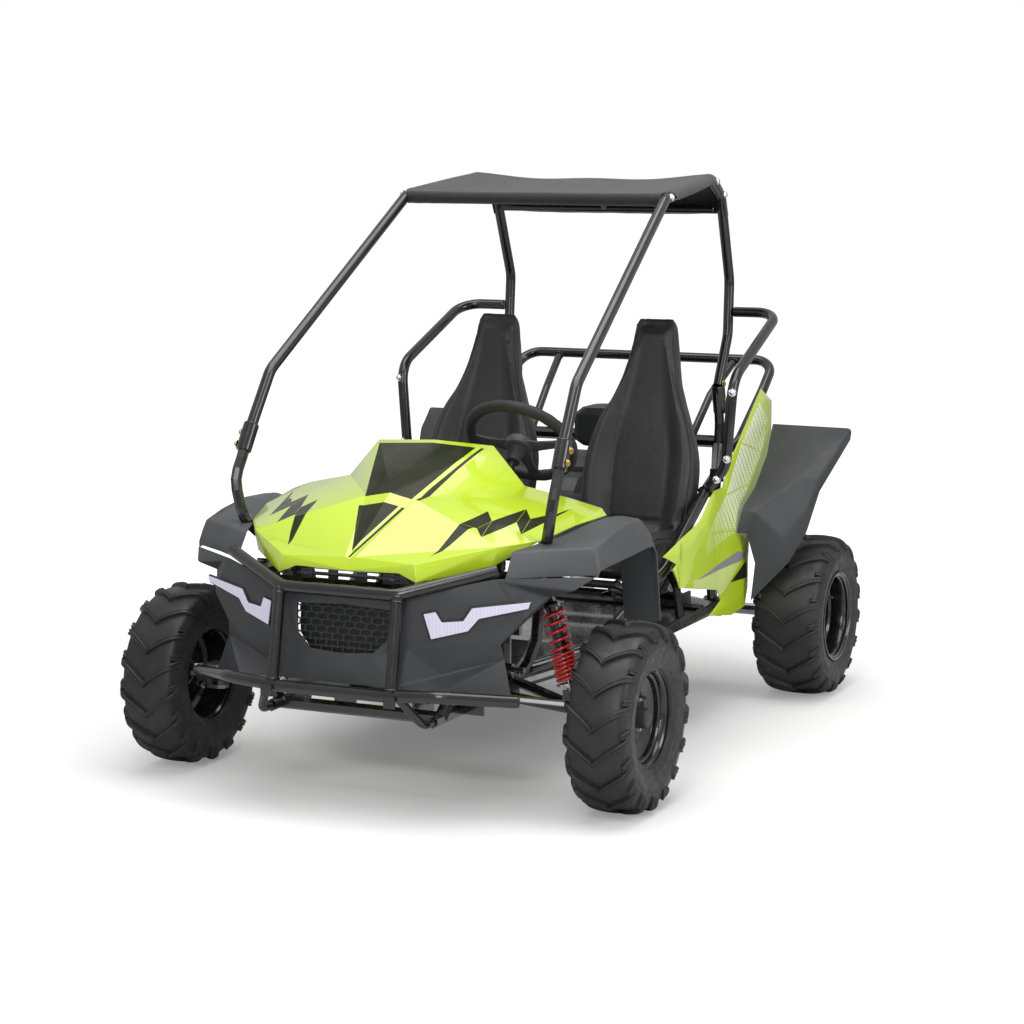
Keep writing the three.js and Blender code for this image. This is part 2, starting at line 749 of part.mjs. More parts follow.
// Frame tubes, left side or the whole width. Each table is a line of corners.
const mirrorPoint = (point) => new THREE.Vector3(-point.x, point.y, point.z);
const acrossKart = (corners) => [...corners, ...corners.map(mirrorPoint).reverse()];

// The room that a tube takes in its neighbours: wider and longer by the clearance.
function tubeRoom(shares, spec) {
  const corners = places(shares);
  const longer = (end, next) => new THREE.Vector3().subVectors(end, next).setLength(clearance).add(end);
  const ends = [longer(corners[0], corners[1]), longer(corners.at(-1), corners.at(-2))];
  return bentTube([ends[0], ...corners.slice(1, -1), ends[1]], { ...spec, radius: spec.radius + clearance });
}


const frontStubShares = [
  [0.6251, 0.0039, 0.5665], [0.6284, -0.0156, 0.5323], [0.6318, -0.0374, 0.4981],
  [0.6052, -0.0327, 0.4327], [0.4988, 0.0483, 0.3513],
];
const frontLegShares = [[0.4988, 0.0546, 0.3513],[0.4389, 0.0998, 0.2281],[0.3325, 0.1029, 0.1612]];
const rearStubShares = [
  [0.4988, 0.9018, 0.5932], [0.4988, 0.9166, 0.5247], [0.5071, 0.8807, 0.327],
  [0.5819, 0.8652, 0.1901], [0.5819, 0.8265, 0.1901],
];
const cageShares = [
  [0.6244, 0.007, 0.5734], [0.6151, 0.074, 0.6722], [0.5553, 0.5417, 0.9567], [0.5104, 0.8277, 0.9871],
  [0.5071, 0.8956, 0.9529], [0.5004, 0.9595, 0.7947], [0.5021, 0.9525, 0.6913],
  [0.4988, 0.9041, 0.597],
];
const sillShares = [
  [0.3857, 0.1021, 0.1916], [0.5486, 0.2338, 0.2129], [0.6284, 0.4677, 0.3133],
  [0.6185, 0.6859, 0.4228], [0.6185, 0.7482, 0.4487], [0.5054, 0.8995, 0.4837],
];
const sideBarShares = [
  [0.5021, 0.9564, 0.7346], [0.7232, 0.9509, 0.7354], [0.7332, 0.6836, 0.6319],
  [0.7066, 0.6836, 0.4715], [0.6218, 0.6859, 0.4243],
];
const hoopShares = [
  [0.4954, 0.9135, 0.4563], [0.5486, 0.9657, 0.4867], [0.5885, 1.0491, 0.5779],
  [0.5885, 1.1193, 0.6304],
];
const hoopBraceShares = [[0.4123, 1.1193, 0.6304],[0.3807, 1.0133, 0.5681],[0.3658, 0.9182, 0.4867]];
const upperBumperShares = [[0.5187, -0.1356, 0.3962],[0.2228, -0.2175, 0.3597]];
const lowerBumperShares = [
  [0.6251, -0.1691, 0.1992], [0.409, -0.2424, 0.2114], [0.1995, -0.2463, 0.2053],
];
const bumperPostShares = [[0.2278, -0.2182, 0.3597],[0.2294, -0.2447, 0.2068]];
const bumperMountShares = [
  [0.2494, -0.2455, 0.2068], [0.3159, -0.2104, 0.1559], [0.3159, -0.1796, 0.1559],
];

const mountTube = { ...braceTube, bendSteps: 1 };
const tubeAt = (shares, spec) => bentTube(places(shares), spec);
const frontStub = tubeAt(frontStubShares, cageTube);
const frontStubRoom = tubeRoom(frontStubShares, cageTube);
const rearStubRoom = tubeRoom(rearStubShares, cageTube);
const cageRoom = tubeRoom(cageShares, cageTube);

// Front frame: lower and upper rails, towers, mounts for the arms, dampers, rack and pedals

const frontLow = place([0.3159, -0.1793, 0.1559]);
const frontLowEnd = place([0.3159, 0.1169, 0.1559]);
const frontHigh = place([0.4988, -0.1325, 0.3513]);
const frontHighEnd = place([0.4988, 0.0546, 0.3513]);
const towerFeetShares = [[0.3159, -0.1481, 0.1559]];
const towerTopsShares = [[0.4988, -0.1325, 0.3513]];
const legTube = { ...railTube, sides: hiddenSides, bendSteps: 1 };
const postTube = { radius: 6, bend: 20, sides: 6, bendSteps: 1 };
const pedalShaft = {
  radius: 6,
  innerX: place([0.2161, 0, 0]).x,
  outerX: place([0.3259, 0, 0]).x,
  end: place([0.4738, 0, 0]).x,
  plate: 6,
  rise: 12,
};
const pedalAxis = place([0, 0.0156, 0.2091]);
const postFeetShare = [0.2494, -0.1325, 0.3513];
const postKneeShare = [0.266, -0.0546, 0.4144];
const noseStayShares = [[0.3175, -0.1325, 0.3468],[0.3574, -0.1761, 0.3422]];
const columnStrutShares = [[0.3325, 0.0546, 0.3513],[0.3109, 0.0943, 0.4616]];

// A straight tube across the kart at a point's height and distance.
const crossTube = (point, halfLength, radius) =>
  bar(point.clone().setX(-halfLength), point.clone().setX(halfLength), radius);

// Both sides of a left-hand piece.
const onBothSides = (geometry) => [geometry, mirrored(geometry)];

// A pair of plates across X that hold a pin on either side of a part.
function clevisAcrossX(pinCentre, side, pinRadius, root, thick) {
  const margin = new THREE.Vector3(0, pinRadius * clevisShare, pinRadius * clevisShare);
  const low = pinCentre.clone().min(root).sub(margin).setX(pinCentre.x);
  const high = pinCentre.clone().max(root).add(margin).setX(pinCentre.x);
  const plates = [side, -side - thick].map((x) => block(moved(low, x, 0, 0), moved(high, x + thick, 0, 0)));
  return [...plates, barAlongX(pinCentre, side + thick / 2, pinRadius)];
}

// The same across Y.
function clevisAcrossY(pinCentre, side, pinRadius, root, thick) {
  const margin = new THREE.Vector3(pinRadius * clevisShare, 0, pinRadius * clevisShare);
  const low = pinCentre.clone().min(root).sub(margin).setY(pinCentre.y);
  const high = pinCentre.clone().max(root).add(margin).setY(pinCentre.y);
  const plates = [side, -side - thick].map((y) => block(moved(low, 0, y, 0), moved(high, 0, y + thick, 0)));
  return [...plates, barAlongY(pinCentre, side + thick / 2, pinRadius)];
}

const clevisShare = 2.2; // of the pin's radius, from its centre to the plate's edge

function frontFrameGeometry() {
  const lowRail = bar(frontLow, frontLowEnd, railTube.radius);
  const highRail = bar(frontHigh, frontHighEnd, railTube.radius);
  const leg = tubeAt(frontLegShares, legTube);
  const tower = bar(place(towerFeetShares[0]), place(towerTopsShares[0]), railTube.radius);
  const boltMiddle = new THREE.Vector3().addVectors(...bushCentres).multiplyScalar(0.5);
  const armMounts = clevisAcrossY(
    boltMiddle,
    (wishbone.rearBush - wishbone.frontBush) / 2 + wishbone.bushHalf + clearance,
    wishbone.pinRadius,
    new THREE.Vector3(frontLow.x, boltMiddle.y, frontLow.z),
    steelPlate,
  );
  const damperMount = clevisAcrossY(
    frontDamperTop,
    eyeSide,
    damper.pinRadius,
    new THREE.Vector3(frontHigh.x, frontDamperTop.y, frontHigh.z),
    steelPlate,
  );
  const noseStay = bar(place(noseStayShares[0]), place(noseStayShares[1]), postTube.radius);
  const post = bentTube([place(postFeetShare), place(postKneeShare), ...bonnetSeat()], postTube);
  const sideTubes = [lowRail, highRail, leg, tower, frontStub, post, noseStay];
  const halves = [...sideTubes, ...armMounts, ...damperMount].flatMap(onBothSides);
  const crossTubes = [
    crossTube(place(towerFeetShares[0]), frontLow.x, railTube.radius),
    crossTube(new THREE.Vector3(0, pedalAxis.y, frontLow.z), frontLow.x, railTube.radius),
    crossTube(frontHigh, frontHigh.x, railTube.radius),
    crossTube(frontHighEnd, frontHigh.x, railTube.radius),
  ];
  const housing = bar(
    new THREE.Vector3(rack.housingLow, rackEnd.y, tieLevel),
    new THREE.Vector3(rack.housingHigh, rackEnd.y, tieLevel),
    rack.housingRadius,
  );
  const pinionTop = pinionPoint.clone().addScaledVector(lowerAxis, column.pinionReach);
  const pinionHousing = bar(pinionPoint, pinionTop, rack.housingRadius);
  const rackMounts = [rack.housingLow, rack.housingHigh - steelPlate].map((x) =>
    block(
      new THREE.Vector3(x, place(towerFeetShares[0]).y, frontLow.z - railTube.radius / 2),
      new THREE.Vector3(x + steelPlate, rackEnd.y, tieLevel),
    ),
  );
  const bushOf = (reach) => columnJoint.clone().addScaledVector(columnAxis, column.bushReach + reach);
  const columnBush = bar(bushOf(-column.bushHalf), bushOf(column.bushHalf), column.bushRadius);
  const strut = bar(place(columnStrutShares[0]), place(columnStrutShares[1]), column.radius);
  const pedalPlates = [pedalShaft.innerX, pedalShaft.outerX].map((x) =>
    block(
      new THREE.Vector3(x, pedalAxis.y - pedalShaft.rise, frontLow.z),
      new THREE.Vector3(x + pedalShaft.plate, pedalAxis.y + pedalShaft.rise, pedalAxis.z + pedalShaft.rise),
    ),
  );
  const pedalPin = bar(
    new THREE.Vector3(pedalShaft.innerX, pedalAxis.y, pedalAxis.z),
    new THREE.Vector3(pedalShaft.end, pedalAxis.y, pedalAxis.z),
    pedalShaft.radius,
    roundSides,
  );
  const body = weld(
    ...halves,
    ...crossTubes,
    housing,
    pinionHousing,
    ...rackMounts,
    columnBush,
    strut,
    ...pedalPlates,
    pedalPin,
  );
  const shaftRoom = bar(
    pinionTip.clone().addScaledVector(lowerAxis, -clearance),
    pinionTop.clone().addScaledVector(lowerAxis, overrun),
    boreRadius(column.radius, hiddenSides),
  );
  const rackRoom = barAlongX(moved(rackEnd, -rack.half, 0, 0), rack.half, rack.radius + bearingGap);
  const columnRoom = bar(
    bushOf(-column.bushHalf - overrun),
    bushOf(column.bushHalf + overrun),
    boreRadius(column.radius, hiddenSides),
  );
  return carve(body, shaftRoom, rackRoom, columnRoom, noseSheet(panelWall + clearance));
}

// Rear frame: stubs, cross tubes, engine bed, deck and pivots for the swing arm

const pivotShare = 0.41563; // of half the width, to each swing arm bush
const pivot = { radius: 9, bushRadius: 17, bushHalf: 20, x: (pivotShare * overallWidth) / 2 };
const pivotCentre = place([0.4156, 0.8028, 0.1992]);
const backTube = place([0, 0.7576, 0.1901]); // the cross tube ahead of the pivot
const deckTube = place([0.4988, 0.9166, 0.4867]);
const deckEnd = place([0.4988, 0.9704, 0.4867]);
const bed = {
  left: place([0.2294, 0, 0]).x,
  right: place([-0.266, 0, 0]).x,
  front: place([0, 0.8262, 0.2859]),
  back: place([0, 0.9634, 0.2859]),
  thick: 6,
};
const bedTube = place([0.5353, 0.8839, 0.2555]);
const uprightX = place([0.3525, 0, 0]).x;
const jackshaft = {
  radius: 10,
  low: place([0.1031, 0, 0]).x,
  high: place([0.286, 0, 0]).x,
  bearing: 18,
};
const bearingPlatesX = [place([0.1097, 0, 0]).x, place([0.1995, 0, 0]).x];

function rearFrameGeometry() {
  const stub = tubeAt(rearStubShares, cageTube);
  const deckSide = bar(deckTube, deckEnd, braceTube.radius);
  const upright = bar(
    new THREE.Vector3(uprightX, backTube.y, backTube.z),
    new THREE.Vector3(uprightX, bedTube.y, bedTube.z),
    braceTube.radius,
  );
  const bushSide = pivot.bushHalf + clearance;
  const pivotMount = clevisAcrossX(pivotCentre, bushSide, pivot.radius, backTube, steelPlate);
  const halves = [stub, deckSide, upright, ...pivotMount].flatMap(onBothSides);
  const bedCorner = [bed.left - braceTube.radius, bed.right + braceTube.radius];
  const struts = bedCorner.flatMap((x) => [
    bar(
      new THREE.Vector3(x, bed.back.y - braceTube.radius, bed.back.z),
      new THREE.Vector3(x, deckEnd.y, deckEnd.z),
      braceTube.radius,
    ),
    bar(bedTube.clone().setX(x), bedTube.clone().setX(x).setZ(bed.back.z), braceTube.radius),
  ]);
  const crossTubes = [
    crossTube(backTube, floorRail.x - railTube.radius - clearance, railTube.radius),
    crossTube(bedTube, bedTube.x, braceTube.radius),
    crossTube(deckTube, deckTube.x, cageTube.radius),
    crossTube(deckEnd, deckEnd.x, braceTube.radius),
  ];
  const bedPlate = block(
    new THREE.Vector3(bed.right, bed.front.y, bed.front.z),
    new THREE.Vector3(bed.left, bed.back.y, bed.back.z + bed.thick),
  );
  const damperMount = clevisAcrossX(rearDamperTop, eyeSide, damper.pinRadius, deckEnd, steelPlate);
  const shaftCentre = (x) => new THREE.Vector3(x, pivotCentre.y, pivotCentre.z);
  const bearings = bearingPlatesX.flatMap((x) => [
    barAlongX(shaftCentre(x + steelPlate / 2), steelPlate / 2, jackshaft.bearing),
    block(
      new THREE.Vector3(x, backTube.y, backTube.z - jackshaft.radius),
      new THREE.Vector3(x + steelPlate, pivotCentre.y, pivotCentre.z + jackshaft.radius),
    ),
  ]);
  const shaftRoom = bar(
    shaftCentre(jackshaft.low - overrun),
    shaftCentre(jackshaft.high + overrun),
    boreRadius(jackshaft.radius, hiddenSides),
  );
  return carve(weld(...halves, ...struts, ...crossTubes, bedPlate, ...damperMount, ...bearings), shaftRoom);
}

// Floor: two lower rails, the pan and two hoops under the seats

const railShares = [
  [0.3159, 0.1172, 0.1559], [0.3159, 0.1403, 0.1559], [0.5819, 0.3352, 0.1901],
  [0.5819, 0.8262, 0.1901],
];
const panShares = [
  [[-0.3259, 0.1341, 0.1627],[0.3259, 0.1341, 0.1627]],
  [[-0.5719, 0.3352, 0.1916],[0.5719, 0.3352, 0.1916]],
  [[-0.5719, 0.742, 0.1916],[0.5719, 0.742, 0.1916]],
];
const seatHoopShares = [[0.5736, 0.4209, 0.1901],[0.542, 0.4209, 0.2862]];
const rearSeatHoopShares = [[0.5736, 0.6235, 0.1901],[0.542, 0.6235, 0.2862]];
const floorRail = place(railShares[3]);

function floorGeometry() {
  const rail = tubeAt(railShares, railTube);
  const tables = [seatHoopShares, rearSeatHoopShares];
  const hoops = tables.map((shares) => bentTube(acrossKart(places(shares)), braceTube));
  const pan = gridSheet(panShares.map(places), panelWall);
  return weld(...onBothSides(rail), ...hoops, pan);
}

// Cage

const sleeve = { radius: 17.5 };
const sleevePlaces = {
  front: [place([0.6284, -0.0109, 0.543]), place([0.6234, 0.014, 0.5848])],
  rear: [place([0.4988, 0.9205, 0.5452]), place([0.4988, 0.9041, 0.597])],
};
const roofFrontShares = [[0.5553, 0.5409, 0.9551]];
const roofRearShares = [[0.5037, 0.8956, 0.9293]];
const stayShares = [[0, 0.5409, 0.9551],[0, 0.8956, 0.9293]];

function cageSideGeometry() {
  const loop = tubeAt(cageShares, cageTube);
  const sleeves = Object.values(sleevePlaces).map(([low, high]) => bar(low, high, sleeve.radius));
  return carve(weld(loop, ...sleeves), frontStubRoom, rearStubRoom);
}

function roofFrameGeometry() {
  const front = place(roofFrontShares[0]);
  const rear = place(roofRearShares[0]);
  const bars = [front, rear].map((end) => crossTube(end, end.x, braceTube.radius));
  const stay = bar(place(stayShares[0]), place(stayShares[1]), braceTube.radius);
  return carve(weld(...bars, stay), ...onBothSides(cageRoom));
}

addPair("cage_side", cageSideGeometry(), finishes.glossBlack);
addPiece("roof_frame", roofFrameGeometry(), finishes.glossBlack);

const legRoom = tubeRoom(frontLegShares, legTube);
const sillRoom = tubeRoom(sillShares, railTube);
addPair("sill", carve(tubeAt(sillShares, railTube), legRoom, rearStubRoom), finishes.glossBlack);
addPair("side_bar", carve(tubeAt(sideBarShares, cageTube), cageRoom, sillRoom), finishes.glossBlack);

const deckRoom = crossTube(deckTube, deckTube.x, cageTube.radius + clearance);
const hoopHalf = [tubeAt(hoopBraceShares, braceTube)].flatMap(onBothSides);
const hoopLoop = bentTube(acrossKart(places(hoopShares)), cageTube);
const deckSideRoom = bar(deckTube, deckEnd, braceTube.radius + clearance);
const hoopRooms = [rearStubRoom, sillRoom, deckSideRoom].flatMap(onBothSides);
addPiece("rear_hoop", carve(weld(hoopLoop, ...hoopHalf), deckRoom, ...hoopRooms), finishes.glossBlack);

function bumperGeometry() {
  const tables = [upperBumperShares, lowerBumperShares];
  const bars = tables.map((shares) => bentTube(acrossKart(places(shares)), bumperTube));
  const posts = onBothSides(tubeAt(bumperPostShares, bumperTube));
  const mounts = onBothSides(tubeAt(bumperMountShares, mountTube));
  return weld(...bars, ...posts, ...mounts);
}

addPiece("front_bumper", bumperGeometry(), finishes.glossBlack);

// Bodywork

// Adds the mirror image of a half skin. Points on the centre plane are shared.
function wholeSkin(points, faces) {
  const twin = points.map((point, k) => (point.x === 0 ? k : points.length + k));
  const otherPoints = points.map((point) => new THREE.Vector3(-point.x, point.y, point.z));
  const otherFaces = faces.map((face) => face.map((corner) => twin[corner]).reverse());
  return { points: [...points, ...otherPoints], faces: [...faces, ...otherFaces] };
}

// Turns every face of a skin away from a point behind it.
function facingAwayFrom(centre, points, faces) {
  return faces.map((face) => {
    const towards = new THREE.Vector3().subVectors(points[face[0]], centre);
    return faceNormal(points, face).dot(towards) < 0 ? [...face].reverse() : face;
  });
}

// The bonnet's corners, from the nose lip back to the scoop above the wheel.
const bonnetShares = [
  [0, -0.1871, 0.3878], [0, -0.1777, 0.4053], [0.02, -0.1769, 0.4076], [0.1995, -0.1886, 0.3894],
  [0.266, -0.1894, 0.3779], [0.256, -0.1847, 0.4046], [0.0981, -0.0335, 0.4852], [0, -0.0335, 0.4943],
  [0, 0.1341, 0.5612], [0.2278, 0.1309, 0.5544], [0.3574, 0.1372, 0.4928], [0.2328, 0.0546, 0.4905],
  [0.4805, -0.0935, 0.4266], [0.4589, -0.1013, 0.3939], [0.5736, -0.0265, 0.4297],
  [0.6234, 0.0647, 0.4456],
  [0.6567, 0.1598, 0.4494],[0.532, 0.145, 0.4753],[0.6318, 0.1668, 0.4593],
];
const bonnetFaces = [
  [1, 2, 6, 7],
  [7, 6, 9, 8],
  [2, 5, 12, 6],
  [6, 11, 10, 9],
  [6, 12, 11],
  [12, 14, 11],
  [14, 15, 11],
  [15, 10, 11],
  [15, 17, 10],
  [15, 16, 18, 17],
  [4, 13, 12, 5],
  [0, 3, 5, 2, 1],
  [3, 4, 5],
  [13, 14, 12],
];
const behindBonnet = place([0, 0.0468, 0.2281]);

function bonnetSheet(thickness) {
  const half = places(bonnetShares);
  const { points, faces } = wholeSkin(half, facingAwayFrom(behindBonnet, half, bonnetFaces));
  return sheet(points, faces, thickness);
}

// Where a post meets the underside of the bonnet, square to its side facet.
function bonnetSeat() {
  const corners = places(bonnetShares);
  const facet = facingAwayFrom(behindBonnet, corners, [[6, 12, 11]])[0];
  const inward = faceNormal(corners, facet).negate();
  const middle = new THREE.Vector3();
  for (const k of facet) middle.addScaledVector(corners[k], 1 / facet.length);
  const depths = [braceTube.bend, panelWall + clearance];
  return depths.map((depth) => middle.clone().addScaledVector(inward, depth));
}

addPiece("bonnet", carve(bonnetSheet(panelWall), ...onBothSides(frontStubRoom)), finishes.limeGloss);

// Nose panel: grille surround, lamp facets, chin and top wings
const noseShares = [
  [0, -0.2042, 0.3559], [0.251, -0.1995, 0.3513], [0.1812, -0.2011, 0.3361], [0, -0.2011, 0.3361],
  [0.2477, -0.1949, 0.2715], [0.1746, -0.2058, 0.2852], [0.2261, -0.2151, 0.2167],
  [0, -0.2214, 0.2183],
  [0, -0.2104, 0.2593], [0.123, -0.2104, 0.2593], [0.5353, -0.1458, 0.3802], [0.7897, -0.0374, 0.3802],
  [0.7415, -0.0779, 0.362], [0.6101, -0.1247, 0.3202], [0.3425, -0.173, 0.2289],
  [0.532, -0.1356, 0.254],
  [0.399, -0.212, 0.216],[0.5819, -0.145, 0.1932],[0.66, -0.0779, 0.3506],[0.5536, -0.1372, 0.2905],
];
const noseFaces = [
  [0, 3, 2, 1],
  [1, 2, 5, 4],
  [9, 8, 7, 6, 4, 5],
  [1, 4, 13, 10],
  [10, 13, 18, 12, 11],
  [4, 6, 14, 19, 13],
  [13, 19, 18],
  [6, 16, 14],
  [14, 16, 15, 19],
  [16, 17, 15],
];
const behindNose = place([0, 0.1169, 0.289]);
const bumperRoom = [
  ...[upperBumperShares, lowerBumperShares].map((shares) =>
    bentTube(acrossKart(places(shares)), { ...bumperTube, radius: bumperTube.radius + clearance }),
  ),
  ...onBothSides(tubeRoom(bumperPostShares, bumperTube)),
  ...onBothSides(tubeRoom(bumperMountShares, mountTube)),
];

function noseSheet(thickness) {
  const half = places(noseShares);
  const { points, faces } = wholeSkin(half, facingAwayFrom(behindNose, half, noseFaces));
  return sheet(points, faces, thickness);
}

addPiece("nose_panel", carve(noseSheet(panelWall), ...bumperRoom), finishes.greyPlastic);

// Grille: a plate behind the nose panel's opening, with slots laid like bricks
const grille = { thick: 4, border: 8, rows: 5, columns: 3, slotShare: 0.84, barShare: 0.6, stand: 9 };
const grilleTop = place([0.1962, -0.2011, 0.3422]);
const grilleWaist = place([0.1895, -0.2058, 0.2829]);
const grilleFoot = place([0.133, -0.2104, 0.2532]);

function grilleGeometry() {
  const up = new THREE.Vector3(0, grilleTop.y - grilleFoot.y, grilleTop.z - grilleFoot.z);
  const height = up.length();
  up.normalize();
  const waist = (height * (grilleWaist.z - grilleFoot.z)) / (grilleTop.z - grilleFoot.z);
  const outline = new THREE.Shape([
    new THREE.Vector2(-grilleFoot.x, 0),
    new THREE.Vector2(grilleFoot.x, 0),
    new THREE.Vector2(grilleWaist.x, waist),
    new THREE.Vector2(grilleTop.x, height),
    new THREE.Vector2(-grilleTop.x, height),
    new THREE.Vector2(-grilleWaist.x, waist),
  ]);
  const pitchX = (2 * (grilleTop.x - grille.border)) / grille.columns;
  const pitchZ = (height - 2 * grille.border) / grille.rows;
  const halfSlot = (pitchX * grille.slotShare) / 2;
  const slotHeight = pitchZ * grille.barShare;
  const slots = [];
  for (let row = 0; row < grille.rows; row += 1) {
    const low = grille.border + row * pitchZ + (pitchZ - slotHeight) / 2;
    const slack = low < waist ? ((waist - low) / waist) * (grilleWaist.x - grilleFoot.x) : 0;
    const room = grilleWaist.x - slack - grille.border;
    for (let column = -grille.columns; column <= grille.columns; column += 1) {
      const middle = (column + (row % 2) / 2) * pitchX;
      const left = Math.max(middle - halfSlot, -room);
      const right = Math.min(middle + halfSlot, room);
      const foot = new THREE.Vector3(left, low, -overrun);
      const head = new THREE.Vector3(right, low + slotHeight, overrun);
      if (right - left > slotHeight) slots.push(block(foot, head));
    }
  }
  const back = new THREE.Vector3().crossVectors(unitX, up);
  const foot = new THREE.Vector3(0, grilleFoot.y, grilleFoot.z);
  const origin = foot.addScaledVector(back, -grille.stand - grille.thick);
  const flat = plate(outline, grille.thick, new THREE.Matrix4());
  const slotted = carve(flat, ...slots).applyMatrix4(standing(unitX, up, origin));
  return carve(slotted, noseSheet(panelWall + clearance));
}

addPiece("grille", grilleGeometry(), finishes.greyPlastic);

// Headlamps: a tick-shaped lens on each lamp facet
const lampShares = [
  [0.2926, -0.1886, 0.3293], [0.3142, -0.1816, 0.2882], [0.4323, -0.159, 0.3019],
  [0.4672, -0.1535, 0.3217], [0.6234, -0.1239, 0.3384], [0.6318, -0.1231, 0.3498],
  [0.4456, -0.159, 0.3392],
  [0.4173, -0.1637, 0.3186],[0.3508, -0.1761, 0.3163],[0.3325, -0.1816, 0.3331],
];
const lampStand = 9;

function lampGeometry() {
  const corner = places(noseShares);
  const [inner, outer, low] = [corner[1], corner[10], corner[4]];
  const normal = new THREE.Vector3()
    .crossVectors(new THREE.Vector3().subVectors(low, inner), new THREE.Vector3().subVectors(outer, inner))
    .normalize();
  const onFacet = (point, height) =>
    point.clone().addScaledVector(normal, height - normal.dot(new THREE.Vector3().subVectors(point, inner)));
  const outline = places(lampShares).map((point) => onFacet(point, lampStand));
  const flat = outline.map((point) => new THREE.Vector2(point.x, point.z));
  const faces = THREE.ShapeUtils.triangulateShape(flat, []);
  return sheet(outline, facingAwayFrom(behindNose, outline, faces), lampStand - clearance);
}

addPair("headlamp", lampGeometry(), finishes.lampWhite);

// Front fender, by stations from the nose back: inner edge, middle, ridge and lip
const frontFenderShares = [
  [
    [0.5287, -0.1169, 0.3802], [0.6517, -0.0748, 0.3817], [0.7814, -0.0359, 0.3825],
    [0.7947, -0.0312, 0.3779],
  ],
  [
    [0.5254, -0.0873, 0.4198], [0.6401, -0.0561, 0.4228], [0.7781, -0.0234, 0.4243],
    [0.8013, -0.0296, 0.3894],
  ],
  [[0.6018, 0.0156, 0.4304],[0.665, 0.0234, 0.435],[0.7814, 0.0312, 0.4365],[0.8013, 0.0312, 0.3916]],
  [[0.6384, 0.0935, 0.4426],[0.6899, 0.1013, 0.4471],[0.7814, 0.1091, 0.4471],[0.8013, 0.1091, 0.3939]],
  [[0.665, 0.1559, 0.4471],[0.7066, 0.1676, 0.4502],[0.7781, 0.1754, 0.4449],[0.8013, 0.1754, 0.397]],
  [[0.6517, 0.2042, 0.4335],[0.7149, 0.212, 0.4259],[0.7781, 0.2182, 0.4167],[0.8013, 0.2089, 0.3954]],
  [[0.6484, 0.2307, 0.3802],[0.7149, 0.2338, 0.3787],[0.7747, 0.2338, 0.3772],[0.798, 0.2276, 0.3802]],
  [[0.6417, 0.2634, 0.2601],[0.7066, 0.2634, 0.2593],[0.7681, 0.2627, 0.2593],[0.788, 0.2603, 0.2624]],
];
const fender = gridSheet(frontFenderShares.map(places), panelWall);
const fenderBody = carve(fender, frontStubRoom, bonnetSheet(panelWall + clearance));
addPair("front_fender", fenderBody, finishes.greyPlastic);

// Side panel: one plastic skin from the door sill to the engine bay
const sidePanelShares = [
  [0.6683, 0.4139, 0.3437], [0.665, 0.5019, 0.3612], [0.6617, 0.6095, 0.3802],
  [0.6567, 0.6882, 0.4259], [0.6517, 0.7451, 0.4259], [0.6451, 0.7818, 0.4608],
  [0.6185, 1.0016, 0.5848], [0.6018, 1.0889, 0.5551],
  [0.6185, 1.067, 0.4677], [0.665, 1.007, 0.3498], [0.665, 0.8792, 0.3376], [0.6783, 0.8574, 0.2243],
  [0.6783, 0.8418, 0.1886], [0.6733, 0.7716, 0.1825], [0.6683, 0.6586, 0.1992],
  [0.6783, 0.7062, 0.2205],
  [0.685, 0.6789, 0.2449], [0.6883, 0.4762, 0.2798], [0.6883, 0.4669, 0.2905],
  [0.6816, 0.4474, 0.3171], [0.6783, 0.4684, 0.3232],
];

// The panel's skin moved out, and made thicker on both sides, by a margin.
function sidePanelSheet(margin) {
  const points = places(sidePanelShares).map((point) => moved(point, margin, 0, 0));
  const flat = points.map((point) => new THREE.Vector2(point.y, point.z));
  const faces = facingAwayFrom(mirrorPoint(points[0]), points, THREE.ShapeUtils.triangulateShape(flat, []));
  return sheet(points, faces, panelWall + 2 * margin);
}

const panelRooms = [sideBarShares, hoopShares].map((shares) => tubeRoom(shares, cageTube));
addPair("side_panel", carve(sidePanelSheet(0), ...panelRooms), finishes.limeGloss);

// Rear fender: a wing that sweeps up ahead of and over the rear tyre
const rearFenderShares = [
  [[0.6783, 0.7888, 0.3346],[0.7049, 0.8106, 0.3331],[0.7315, 0.8262, 0.2738],[0.7149, 0.8277, 0.203]],
  [[0.685, 0.8106, 0.3802],[0.7398, 0.8122, 0.3726],[0.8313, 0.8511, 0.3194],[0.8512, 0.8613, 0.2753]],
  [[0.685, 0.8807, 0.4106],[0.798, 0.873, 0.4015],[0.8978, 0.8963, 0.3726],[0.8994, 0.8963, 0.327]],
  [[0.6783, 0.9587, 0.4639],[0.8529, 0.9197, 0.4327],[0.9244, 0.9275, 0.4259],[0.9293, 0.9314, 0.403]],
  [[0.6584, 1.0055, 0.4943],[0.9144, 0.9836, 0.4776],[0.9676, 0.9883, 0.4791],[0.9709, 0.9899, 0.4593]],
  [[0.6401, 1.0444, 0.5141],[0.9776, 1.0413, 0.5133],[0.9875, 1.0444, 0.508],[0.9809, 1.0475, 0.4905]],
];
// Lugs that reach from the fender to the side panel: where each starts and ends.
const fenderLugShares = [
  [[0.6559, 0.8114, 0.3779],[0.6949, 0.8114, 0.3779]],
  [[0.6351, 0.9571, 0.4608],[0.7149, 0.9571, 0.4608]],
];
const fenderLugRadius = 8;

function rearFenderGeometry() {
  const lugs = fenderLugShares.map(([from, to]) => bar(place(from), place(to), fenderLugRadius));
  const wing = gridSheet(rearFenderShares.map(places), panelWall);
  return carve(weld(wing, ...lugs), sidePanelSheet(clearance));
}

addPair("rear_fender", rearFenderGeometry(), finishes.greyPlastic);

